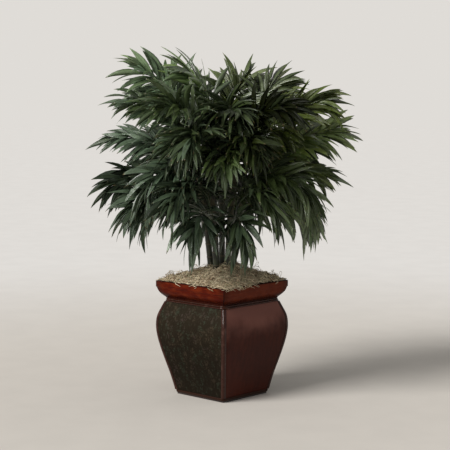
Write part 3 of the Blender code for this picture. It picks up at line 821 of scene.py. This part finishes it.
def moss_strand(dice, hanging):
    """The line of one strand, wandering over the heap, or let down over the rim from near its edge."""
    at_corner = hanging and dice.random() < CORNER_SHARE
    turn = turned(0 if at_corner else 90 * dice.randrange(4))
    if hanging:
        place = dice.uniform(-HANGING_REACH, -HANGING_CLEAR if at_corner else HANGING_REACH)
        here = turn @ Vector((RIM_BAND_OUT - dice.uniform(*HANGING_INSET), place, 0))
        away = turn @ Vector((1, 0, 0))
        heading = math.atan2(away.y, away.x) + dice.uniform(-HANGING_AIM, HANGING_AIM)
    else:
        reach = RIM_BAND_OUT - 0.001
        near = -reach if dice.random() > EDGE_SHARE else reach - EDGE_BAND
        here = turn @ Vector((dice.uniform(near, reach), dice.uniform(-reach, reach), 0))
        heading = dice.uniform(0, 2 * math.pi)
    curl = dice.gauss(0, STRAND_CURL)
    stride = dice.uniform(*STRAND_STRIDE)
    loft = abs(dice.gauss(0, STRAND_LOFT)) * (LOOSE_LOFT if dice.random() < LOOSE_SHARE else 1)
    line = []
    falling = False
    for step in range(STRAND_STEPS + 1):
        hit, normal = resting_place(here)
        if hit is not None and not falling:
            lift = loft * math.sin(math.pi * step / STRAND_STEPS) ** 0.7
            point = hit + normal * (lift + dice.uniform(*STRAND_CLEARANCE))
        elif line and hanging:
            falling = True
            height = line[-1].z - stride * dice.uniform(*HANGING_DROP)
            out = max(abs(here.x), abs(here.y))
            point = here * ((RIM_BAND_OUT + dice.uniform(*HANGING_CLEARANCE)) / out)
            point.z = height
        else:
            break
        line.append(point)
        heading += curl + dice.gauss(0, STRAND_KINK)
        here = here + Vector((math.cos(heading), math.sin(heading), 0)) * stride
    return line


dice = random.Random("moss strands")
tangle = blank()
for batch in range(0, STRANDS + HANGING_STRANDS, BATCH):
    bm = blank()
    for number in range(batch, batch + BATCH):
        line = moss_strand(dice, number >= STRANDS)
        tone = (dice.random(), dice.random(), 0)
        radius = dice.uniform(*STRAND_RADIUS)
        if len(line) > 3:
            rolled(bm, strand_rings(line, radius), tone=tone)
    weld(bm)
    batch_mesh = mesh_of("strands", bm)
    tangle.from_mesh(batch_mesh)
    bpy.data.meshes.remove(batch_mesh)
lay("moss_strands", tangle, [straw])


# --- Canes ---
# Seven slim canes, ringed where old leaves have dropped, growing up through the moss and leaning apart.
# Each ends in a furled spear, the next leaf. They are dark green, streaked with brown, and brown round the
# rings.

CANE_SIDES = 14
CANE_STATION = 0.0020
RING_SPACING = 0.031
RING_WIDTH = 0.035
RING_SWELL = 0.12
GROOVE_PLACE = 0.08
GROOVE_WIDTH = 0.04
GROOVE_DEPTH = 0.05
CANE_WAIST = 0.93
SPEAR = 0.030
SPEAR_TIP = 0.08
CANE_GREEN = (0.030, 0.040, 0.014, 1)
CANE_DARK = (0.012, 0.014, 0.007, 1)
CANE_SCAR = (0.125, 0.095, 0.052, 1)


def smooth_line(points, count):
    """As many points as asked for on a smooth curve through the given ones."""
    line = []
    for share in evenly(count - 1):
        place = share * (len(points) - 1)
        index = min(int(place), len(points) - 2)
        here, there = points[index:index + 2]
        before = points[index - 1] if index else 2 * here - there
        after = points[index + 2] if index + 2 < len(points) else 2 * there - here
        line.append(curve(here, there, (there - before) / 2, (after - here) / 2, place - index))
    return line


def cane_line(solid):
    """The middle of a plain cane at each of the stations it was drawn through."""
    corners = sorted((corner.co.copy() for corner in solid.data.vertices), key=lambda corner: corner.z)
    stations = [[corners[0]]]
    for corner in corners[1:]:
        if corner.z - stations[-1][-1].z > 0.01:
            stations.append([])
        stations[-1].append(corner)
    return [middle_of(station) for station in stations]


def round_ring(middle, radius):
    bearings = [2 * math.pi * side / CANE_SIDES for side in range(CANE_SIDES)]
    return [middle + Vector((math.cos(b), math.sin(b), 0)) * radius for b in bearings]


def paint_cane(tree):
    ring, _, _ = tone_of(tree)
    streaks = cloud(coordinates(tree, stretch=(1, 1, 0.06)), 420.0, 5.0, 0.6)
    patches = cloud(coordinates(tree), 45.0, 4.0)
    colour = mixed(between(patches, 0.40, 0.62), CANE_DARK, CANE_GREEN)
    colour = mixed(between(streaks, 0.52, 0.72, 0.0, 0.6), colour, CANE_SCAR)
    return {
        "colour": mixed(between(ring, 0.2, 1.0), colour, CANE_SCAR),
        "roughness": between(patches, 0.3, 0.7, 0.55, 0.38),
        "height": streaks,
        "depth": 0.0003,
    }


cane_skin = coated("ringed cane", paint_cane)

dice = random.Random("canes")
for number in range(1, 8):
    name = f"cane_{number}"
    middles = cane_line(cad[name])
    low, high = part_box(name)
    count = int((high.z - low.z) / CANE_STATION)
    line = smooth_line(middles, count)
    radius = min((corner.co - middles[0]).length for corner in cad[name].data.vertices)
    offset = dice.uniform(0, RING_SPACING)
    bm = blank()
    rings = [[line[0]] * CANE_SIDES]
    tones = [(0, 0, 0)]
    for station, middle in enumerate(line):
        left = (count - 1 - station) * CANE_STATION
        near = ((middle.z + offset) % RING_SPACING) / RING_SPACING
        ring = math.exp(-((min(near, 1 - near) / RING_WIDTH) ** 2))
        groove = math.exp(-(((near - GROOVE_PLACE) / GROOVE_WIDTH) ** 2))
        size = radius * (CANE_WAIST + RING_SWELL * ring - GROOVE_DEPTH * groove)
        size *= min(1.0, SPEAR_TIP + (left / SPEAR) ** 0.7)
        rings.append(round_ring(middle, size))
        tones.append((ring if left > SPEAR else 0, 0, 0))
    rings.append([line[-1]] * CANE_SIDES)
    tones.append((0, 0, 0))
    rolled(bm, rings, along=[0.0] + [i * CANE_STATION for i in range(count + 1)], tone=tones)
    lay(f"{name}_stem", bm, [cane_skin], [name])


# --- Leaves ---
# Thirty-five feather leaves, grown on the canes. Each is a sheath clasping its cane, a slim stalk that
# arches over, and long folded leaflets down both sides, widest before the middle and drawn out to a point.

RING_SPAN = 0.0046
LEAST_BLADE = 0.010
CANE_RADIUS = 0.0078
STALK_HALF = 0.0014
STALK_BROAD = 1.05
STALK_SIDES = 10
STALK_SPLITS = 2
STALK_TAPER = 0.42
TIP_OVERLAP = 0.004
CLASP_ANGLE = 155
CLASP_INNER_SHARE = 0.96
CLASP_REACH = 1.6
CLASP_OPENING = 0.3
# In degrees round the stalk's oval: how far its outer side reaches, where its inner side starts, and how
# far that runs.
OVAL_OUTER = 110
OVAL_INNER = 132
OVAL_SPAN = 96
CLASP_THIN = 0.0003
CLASP_THICK = 0.0011
BLADE_ROWS = (0.0, 0.07, 0.17, 0.29, 0.42, 0.55, 0.68, 0.81, 0.92)
BLADE_SHARES = (0.15, 0.22, 0.50, 0.83, 1.0, 0.98, 0.83, 0.54, 0.26)
BLADE_PLACES = (0.0, *BLADE_ROWS, 1.0)
BLADE_WAIST = 0.42
BLADE_FULLNESS = (0.75, 1.2)
BLADE_FOLD = (0.2, 0.8)
BLADE_CUP = 0.45
BLADE_WAVE = (0.02, 0.10)
BLADE_RIPPLES = 9
LEAST_WIDTH = 0.4
FOOT_SET = 0.3
BLADE_TWIST = (-50, 50)
BLADE_ROLL = (-38, 38)
BLADE_SAG = (-0.003, 0.012)
BLADE_SWING = (-12, 12)
BLADE_LENGTH = (0.86, 1.04)
EXTRAS = 2
EXTRA_SHARE = 0.75
EXTRA_PLACE = (0.35, 0.65)
EXTRA_ROLL = (-75, 50)
EXTRA_SWING = (-22, 28)
EXTRA_LENGTH = (0.68, 1.0)
# Where along the stalk, in rings, the leaflets nearest the sheath grow, how long they are, and their swing.
FOOT_LEAFLETS = ((3.2, 0.62, 23), (3.9, 0.74, 13))
FOOT_LENGTH = (0.9, 1.1)
BLADE_COLUMNS = (-1.0, -0.5, 0.0, 0.5, 1.0)
BLADE_THICKNESS = 0.00035
BLADE_VEINS = 7
# A leaflet's upper face takes up 0 to 1 on the map, and its underside 2 back to 1.
BLADE_STRIPS = ((0, 0.25), (0.25, 0.5), (0.5, 0.75), (0.75, 1), (2, 1.5), (1.5, 1))
BLUE_GREEN = (0.030, 0.046, 0.028, 1)
DEEP_GREEN = (0.023, 0.035, 0.009, 1)
OLIVE = (0.029, 0.038, 0.005, 1)
FRESH_GREEN = (0.060, 0.085, 0.012, 1)
PALE_UNDER = (0.055, 0.078, 0.040, 1)
RIB = (0.078, 0.108, 0.040, 1)
STALK_GREEN = (0.070, 0.098, 0.034, 1)
SHEATH_BROWN = (0.080, 0.062, 0.030, 1)
DRY = (0.150, 0.105, 0.045, 1)
# A leaf's hue runs from blue-green at 0 to fresh green at 1. Leaves towards +X and +Y, away from the
# window, are more olive, and fresh green at the top. Leaves towards -X and -Y, on the window's side, are
# bluer, partly a painted bluish sheen of the window's light, and low leaves are bluer too.
WINDOW_AWAY_SIDE = turned(43) @ Vector((1, 0, 0))
WINDOW_AWAY_REACH = 0.2
HUE = 0.32
HUE_TURN = 0.28
HUE_SPREAD = (-0.10, 0.10)
FRESH_HUE = 0.25
FRESH_FROM = 0.3
FRESH_HEIGHT = 0.60
LOW_BLUE = 0.25
LOW_FADE = 0.15
BRIGHTNESS_SPREAD = (0.42, 1.62)
# How light each leaf is painted, by its number. Two steps double it. It is painted light and shade: leaves
# that catch the window's light are painted paler, and those deep in the crown darker.
PAINTED_LIGHTNESS = (
    6, 3, 0, 5, 2, 3, 2, 5, 2, 5, 5, 2,
    0, 1, 6, 5, 2, -1, 2, 1, 5, 4, 3, -1,
    1, 3, 1, 2, 0, 3, -4, -1, 2, 1, 1,
)
# The leaves whose leaflets have grown long, at the top of the crown, or stayed short, at its edge.
GROWTH = {1: 1.22, 2: 1.06, 9: 0.76, 10: 0.88, 22: 0.84, 23: 0.84}
# Two leaves hang close behind the canes, and their leaflets are the fullest.
BEHIND = (14, 19)
BEHIND_FULLNESS = 1.3


def read_leaf(solid):
    """A leaf's plan, read off its plain solid.

    It gives the stalk's rings of four corners, from the sheath outwards. For each leaflet it gives the
    numbers of the rings it starts between, the middle of its foot, the corners of its widest ring, and
    its tip.
    """
    bm = bmesh.new()
    bm.from_mesh(solid.data)
    weld(bm)
    bm.verts.index_update()
    near = {corner: [edge.other_vert(corner) for edge in corner.link_edges] for corner in bm.verts}

    def gap(one, other):
        return (one.co - other.co).length

    def in_order(corners):
        return sorted(corners, key=lambda corner: corner.index)

    tips = [
        corner for corner in bm.verts
        if len(near[corner]) == 4 and min(gap(corner, other) for other in near[corner]) > LEAST_BLADE
    ]
    blades, seen = [], set(tips)
    for tip in tips:
        waist = in_order(near[tip])
        seen.update(waist)
        foot = {other for corner in waist for other in near[corner]} - {tip, *waist}
        blades.append((in_order(foot), waist, tip))
    # The corners left are the stalk's. Those of one ring are closer together than the rings are.
    groups, home = [], {}
    for corner in bm.verts:
        group, queue = [], [corner]
        while queue:
            one = queue.pop()
            if one in seen:
                continue
            seen.add(one)
            home[one] = len(groups)
            group.append(one.co.copy())
            queue += [other for other in near[one] if gap(one, other) < RING_SPAN]
        if group:
            groups.append(group)
    links = [set() for _ in groups]
    for one, number in home.items():
        links[number] |= {home[other] for other in near[one] if other in home} - {number}
    # The sheath is the end ring that is further from the ring next to it.
    middles = [middle_of(group) for group in groups]
    ends = [number for number, joined in enumerate(links) if len(joined) == 1]
    order = [max(ends, key=lambda number: (middles[number] - middles[min(links[number])]).length)]
    while len(order) < len(groups):
        order.append(min(links[order[-1]] - set(order)))
    leaflets = []
    for foot, waist, tip in blades:
        starts = sorted({order.index(home[corner]) for corner in foot})
        foot, waist = ([corner.co.copy() for corner in corners] for corners in (foot, waist))
        leaflets.append((starts, middle_of(foot), waist, tip.co.copy()))
    bm.free()
    return [groups[number] for number in order], leaflets


def axes_of(corners):
    """The directions across and through a flat ring of four corners, and its width."""
    first, *others = corners
    others.sort(key=lambda corner: (corner - first).length)
    across, through = others[1] - first, others[0] - first
    return across.normalized(), through.normalized(), across.length


def towards(guide, vector):
    """The vector, or its opposite, whichever points more nearly the guide's way."""
    return -vector if vector.dot(guide) < 0 else vector


def stalk_frames(rings):
    """The middle, side and upper directions of each ring of a stalk, all turned the same way."""
    middles = [middle_of(ring) for ring in rings]
    uppers = [axes_of(ring)[1] for ring in rings]
    last = len(rings) - 1
    level = max(range(last + 1), key=lambda number: abs(uppers[number].z))
    uppers[level] = towards(UP, uppers[level])
    for number in range(level + 1, last + 1):
        uppers[number] = towards(uppers[number - 1], uppers[number])
    for number in range(level - 1, -1, -1):
        uppers[number] = towards(uppers[number + 1], uppers[number])
    frames = []
    for number, middle in enumerate(middles):
        along = middles[min(number + 1, last)] - middles[max(number - 1, 0)]
        frames.append((middle, along.normalized().cross(uppers[number]).normalized(), uppers[number]))
    return frames


def clasp_ring(middle, side, upper, share, size):
    """A ring between a crescent that clasps the cane, at share 1, and the stalk's own oval, at 0."""
    cane = middle + upper * (CANE_RADIUS + STALK_HALF)
    points = []
    outer = STALK_SIDES - 4
    for number in range(STALK_SIDES):
        if number < outer:
            way = 2 * number / (outer - 1) - 1
            angle = math.radians(CLASP_ANGLE * way)
            radius = CANE_RADIUS + CLASP_THIN * (1 + math.cos(angle / 2)) + CLASP_THICK * (1 - share)
            bearing = math.radians(OVAL_OUTER * way)
        else:
            way = (number - outer) / 3
            angle = math.radians(CLASP_ANGLE * CLASP_INNER_SHARE * (1 - 2 * way))
            radius = CANE_RADIUS
            bearing = math.radians(OVAL_INNER + OVAL_SPAN * way)
        crescent = cane - upper * (radius * math.cos(angle)) + side * (radius * math.sin(angle))
        oval = middle - upper * (size * math.cos(bearing))
        oval += side * (STALK_BROAD * size * math.sin(bearing))
        points.append(oval.lerp(crescent, share))
    return points


def stalk_rings(frames):
    """The rings of a finished stalk: the clasp, the arch, and a fine tip."""
    last = len(frames) - 1
    line = smooth_line([middle for middle, _, _ in frames], last * STALK_SPLITS + 1)
    rings = []
    for number, middle in enumerate(line):
        place = number / STALK_SPLITS
        index = min(int(place), last - 1)
        share = place - index
        (_, side, upper), (_, next_side, next_upper) = frames[index:index + 2]
        side = side.lerp(next_side, share).normalized()
        upper = upper.lerp(next_upper, share).normalized()
        clasp = max(0.0, 1 - place / CLASP_REACH) if index else 1 - CLASP_OPENING * share
        size = STALK_HALF * (1 - (1 - STALK_TAPER) * place / last)
        rings.append(clasp_ring(middle, side, upper, clasp, size))
    return [[middle_of(rings[0])] * STALK_SIDES] + rings + [[line[-1]] * STALK_SIDES]


Leaflet = namedtuple("Leaflet", "start forward across through width waist tip")


def plan_of(start, forward, upper, waist, tip):
    """A leaflet's plan, with its width turned towards the leaf's tip and its upper face up."""
    across, through, width = axes_of(waist)
    across, through = towards(forward, across), towards(upper, through)
    return Leaflet(start, forward, across, through, width, middle_of(waist), tip)


def between_two(one, other, share):
    """A leaflet's plan part of the way from one to another."""
    return Leaflet(*(a + (b - a) * share for a, b in zip(one, other)))


def moved(leaflet, start, turn, size):
    """The same leaflet at another place, turned about its foot, and longer or shorter by its size."""
    return Leaflet(
        start,
        (turn @ leaflet.forward).normalized(),
        (turn @ leaflet.across).normalized(),
        (turn @ leaflet.through).normalized(),
        leaflet.width * (LEAST_WIDTH + (1 - LEAST_WIDTH) * size),
        start + turn @ (leaflet.waist - leaflet.start) * size,
        start + turn @ (leaflet.tip - leaflet.start) * size,
    )


def leaflet_plans(dice, frames, leaflets, growth):
    """All of a leaf's leaflets: the plain ones, more between them, and small ones near the sheath."""
    rows = {-1: [], 1: []}
    plans = []
    for starts, foot, waist, tip in leaflets:
        first, last = starts[0], starts[-1]
        middle, side, upper = frames[last]
        if first == last:
            start = middle - (tip - middle).normalized() * TIP_OVERLAP
            plans.append(plan_of(start, side, upper, waist, tip))
        else:
            forward = (middle - frames[first][0]).normalized()
            start = ((frames[first][0] + middle) / 2).lerp(foot, FOOT_SET)
            hand = 1 if (tip - start).dot(side) > 0 else -1
            rows[hand].append((first, plan_of(start, forward, upper, waist, tip)))
    for hand, row in rows.items():
        row = [leaflet for _, leaflet in sorted(row, key=lambda item: item[0])]
        for leaflet in row:
            swing = turned(dice.uniform(*BLADE_SWING), leaflet.through)
            plans.append(moved(leaflet, leaflet.start, swing, growth * dice.uniform(*BLADE_LENGTH)))
        for one, other in list(zip(row, row[1:])) * EXTRAS:
            if dice.random() > EXTRA_SHARE:
                continue
            extra = between_two(one, other, dice.uniform(*EXTRA_PLACE))
            roll = turned(hand * dice.uniform(*EXTRA_ROLL), extra.forward.normalized())
            swing = turned(hand * dice.uniform(*EXTRA_SWING), extra.through)
            size = growth * dice.uniform(*EXTRA_LENGTH)
            plans.append(moved(extra, extra.start, roll @ swing, size))
        for place, size, swing in FOOT_LEAFLETS:
            index = int(place)
            (middle, _, upper), (further, _, _) = frames[index:index + 2]
            turn = row[0].forward.rotation_difference((further - middle).normalized()).to_matrix()
            turn = turned(-hand * swing, upper) @ turn
            start = middle.lerp(further, place - index)
            plans.append(moved(row[0], start, turn, size * dice.uniform(*FOOT_LENGTH)))
    return plans


def blade_rings(dice, leaflet):
    """The rings of a leaflet: folded along its rib, widest at its waist, and drawn out to its tip."""
    start, forward, across, through, width, waist, tip = leaflet
    first = (waist - start) / BLADE_WAIST
    second = (tip - waist) / (1 - BLADE_WAIST)
    bend = first * (1 - BLADE_WAIST) + second * BLADE_WAIST
    halves = (
        (start, waist, 2 * first - bend, bend, 0.0, BLADE_WAIST),
        (waist, tip, bend, 2 * second - bend, BLADE_WAIST, 1.0),
    )
    fold = dice.uniform(*BLADE_FOLD)
    wave, phase = dice.uniform(*BLADE_WAVE), dice.uniform(0, 6)
    twist, roll = dice.uniform(*BLADE_TWIST), dice.uniform(*BLADE_ROLL)
    sag = dice.uniform(*BLADE_SAG)
    fullness = dice.uniform(*BLADE_FULLNESS)
    rings = []
    for share, wide in zip(BLADE_ROWS, BLADE_SHARES):
        here, there, leave, arrive, low, high = halves[share > BLADE_WAIST]
        t = (share - low) / (high - low)
        leave, arrive = leave * (high - low), arrive * (high - low)
        middle = curve(here, there, leave, arrive, t) - UP * (sag * share**2)
        along = (
            (there - here) * (6 * t - 6 * t**2)
            + leave * (3 * t**2 - 4 * t + 1) + arrive * (3 * t**2 - 2 * t)
        ).normalized()
        near_foot = max(0.0, 1 - share / BLADE_WAIST)
        past_waist = max(0.0, (share - BLADE_WAIST) / (1 - BLADE_WAIST))
        side = across.lerp(forward, near_foot**1.5)
        side = turned(roll * (1 - near_foot) + twist * past_waist, along) @ side
        side = (side - along * side.dot(along)).normalized()
        top = towards(through, along.cross(side))
        half = width * fullness * wide / 2
        crease = fold * (1 + near_foot)
        ring = []
        for column in BLADE_COLUMNS:
            rise = crease * abs(column) - BLADE_CUP * crease * column**2
            rise += wave * math.sin(phase + BLADE_RIPPLES * share) * column
            ring.append(middle + side * (half * column) + top * (half * rise))
        rings.append(ring + [middle - top * BLADE_THICKNESS])
    sides = len(BLADE_COLUMNS) + 1
    return [[start] * sides] + rings + [[tip - UP * sag] * sides]


def paint_blade(tree):
    hue, light_and_shade, dryness = tone_of(tree)
    across, along, _ = parts_of(coordinates(tree, "run"))
    colour = mixed(between(hue, 0.0, 0.35), BLUE_GREEN, DEEP_GREEN)
    colour = mixed(between(hue, 0.35, 0.65), colour, OLIVE)
    colour = mixed(between(hue, 0.7, 1.0), colour, FRESH_GREEN)
    patches = cloud(coordinates(tree), 60.0)
    # Painted light and shade: each leaf's painted lightness, in soft patches.
    strength = times(between(patches, 0.3, 0.7, 0.75, 1.25), light_and_shade)
    # The underside and the ribs are paler than the blade, least so on leaves painted dark.
    faint = between(strength, 0.0, 1.0, 0.15, 1.0)
    under = times(sums("GREATER_THAN", across, 1.0), 0.55)
    colour = mixed(under, lit(colour, strength), lit(PALE_UNDER, faint))
    off_rib = sums("ABSOLUTE", sums("SUBTRACT", sums("FRACT", across), 0.5))
    rib = between(off_rib, 0.010, 0.045, 1.0, 0.0)
    veins = sums("SINE", times(across, 2 * math.pi * BLADE_VEINS))
    line = lit(RIB, faint)
    # The veins are painted paler: partly their own colour, partly a painted highlight along the pleats.
    colour = mixed(between(veins, 0.3, 1.0, 0.0, 0.30), colour, line)
    colour = mixed(times(rib, 0.65), colour, line)
    # The veins run together at both ends of a leaflet, and their relief fades out there.
    relief = sums("SUBTRACT", times(veins, 0.5), rib)
    relief = times(relief, between(along, 0.05, 0.25))
    return {
        "colour": mixed(times(between(along, 0.90, 1.0), dryness), colour, DRY),
        "roughness": between(patches, 0.3, 0.7, 0.26, 0.40),
        "gloss": between(light_and_shade, 0.2, 4.5, 0.10, 1.30),
        "height": times(relief, between(along, 0.80, 0.97, 1.0, 0.0)),
        "depth": 0.00025,
    }


def paint_stalk(tree):
    _, along, _ = parts_of(coordinates(tree, "run"))
    streaks = cloud(coordinates(tree, "run", (40, 3, 1)), 3.0, 5.0)
    colour = mixed(between(streaks, 0.4, 0.7, 0.0, 0.5), STALK_GREEN, DEEP_GREEN)
    return {
        "colour": mixed(between(along, 0.03, 0.14, 0.75, 0.0), colour, SHEATH_BROWN),
        "roughness": between(streaks, 0.3, 0.7, 0.38, 0.52),
        "height": streaks,
        "depth": 0.0002,
    }


blade_skin = coated("leaf blade", paint_blade)
stalk_skin = coated("leaf stalk", paint_stalk)

for number in range(1, 36):
    name = f"leaf_{number:02d}"
    dice = random.Random(name)
    rings, leaflets = read_leaf(cad[name])
    frames = stalk_frames(rings)
    low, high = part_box(name)
    middle = (low + high) / 2
    # Painted sheen, in part: leaves on the window's side are painted bluer.
    window_away = middle.dot(WINDOW_AWAY_SIDE) / WINDOW_AWAY_REACH
    hue = HUE + HUE_TURN * max(-1.0, min(1.0, window_away)) + dice.uniform(*HUE_SPREAD)
    if window_away > FRESH_FROM and middle.z > FRESH_HEIGHT:
        hue += FRESH_HUE
    hue -= LOW_BLUE * max(0.0, min(1.0, (FRESH_HEIGHT - middle.z) / LOW_FADE))
    # Painted light and shade: how light this leaf is painted.
    strength = 2 ** (PAINTED_LIGHTNESS[number - 1] / 2)
    bm = blank()
    rolled(bm, stalk_rings(frames), tone=(hue, strength, 0), material=1)
    for leaflet in leaflet_plans(dice, frames, leaflets, GROWTH.get(number, 1.0)):
        if number in BEHIND:
            leaflet = leaflet._replace(width=leaflet.width * BEHIND_FULLNESS)
        tone = (
            hue + dice.uniform(*HUE_SPREAD), strength * dice.uniform(*BRIGHTNESS_SPREAD), dice.random()
        )
        rolled(bm, blade_rings(dice, leaflet), across=BLADE_STRIPS, along=BLADE_PLACES, tone=tone)
    lay(f"{name}_frond", bm, [blade_skin, stalk_skin], [name])


# --- Stage ---
# A plain pale floor, soft light from a wide window at the upper left, and a weak even light from all round.
# The camera faces the corner between the +X and the -Y side of the planter, from a little above its rim.

VIEW_BEARING = math.radians(43.45)
VIEW_DISTANCE = 3.42
VIEW_HEIGHT = 0.7534
VIEW_PITCH = math.radians(5.88)
VIEW_PAN = math.radians(0.117)
LENS = 117.2
FLOOR_SIZE = 14.0
FLOOR = (0.62, 0.585, 0.54, 1)
FAR_FLOOR = (0.753, 0.736, 0.717, 1)
BACKGROUND = (0.74, 0.715, 0.68, 1)
AMBIENT = (1.0, 0.99, 0.97, 1)
AMBIENT_STRENGTH = 0.40
KEY_FROM = Vector((-1.25, -0.95, 1.10))
KEY_STRENGTH = 3.2
KEY_WIDTH = 28.0
KEY_COLOUR = (1.0, 0.985, 0.96)

ahead = Vector((-math.sin(VIEW_BEARING), math.cos(VIEW_BEARING), 0))
right = Vector((math.cos(VIEW_BEARING), math.sin(VIEW_BEARING), 0))

camera = placed("camera", bpy.data.cameras.new("camera"))
bpy.context.scene.camera = camera
camera.data.lens = LENS
camera.location = -ahead * VIEW_DISTANCE + Vector((0, 0, VIEW_HEIGHT))
camera.rotation_euler = (math.radians(90) - VIEW_PITCH, 0, VIEW_BEARING - VIEW_PAN)


def paint_floor(tree):
    place = coordinates(tree)
    distance = node(tree, "VectorMath", {0: place}, operation="LENGTH").outputs["Value"]
    speckle = between(cloud(place, 9.0, 3.0), 0.3, 0.7, -0.015, 0.015)
    colour = mixed(between(distance, 0.5, 2.6), FLOOR, FAR_FLOOR)
    return {"colour": lit(colour, sums("ADD", speckle, 1.0))}


bm = bmesh.new()
bmesh.ops.create_grid(bm, x_segments=2, y_segments=2, size=FLOOR_SIZE)
mesh = mesh_of("floor", bm)
mesh.materials.append(coated("pale floor", paint_floor, Roughness=0.9, Specular_IOR_Level=0.0))
placed("floor", mesh)

world = bpy.data.worlds.new("studio")
world.use_nodes = True
bpy.context.scene.world = world
tree = world.node_tree
path = node(tree, "LightPath", {})
seen_directly = sums("MAXIMUM", path.outputs["Is Camera Ray"], path.outputs["Is Transmission Ray"])
light = tree.nodes["Background"]
light.inputs["Color"].default_value = AMBIENT
light.inputs["Strength"].default_value = AMBIENT_STRENGTH
behind = node(tree, "Background", {"Color": BACKGROUND, "Strength": 1.0})
both = node(tree, "MixShader", {0: seen_directly, 1: light.outputs[0], 2: behind.outputs[0]})
tree.links.new(both.outputs[0], tree.nodes["World Output"].inputs["Surface"])

lamp = bpy.data.lights.new("window", "SUN")
lamp.energy = KEY_STRENGTH
lamp.angle = math.radians(KEY_WIDTH)
lamp.color = KEY_COLOUR
window = placed("window", lamp)
window.location = right * KEY_FROM.x + ahead * KEY_FROM.y + Vector((0, 0, KEY_FROM.z))
window.rotation_euler = (-window.location).to_track_quat("-Z", "Y").to_euler()

bpy.context.scene.view_settings.view_transform = "Standard"
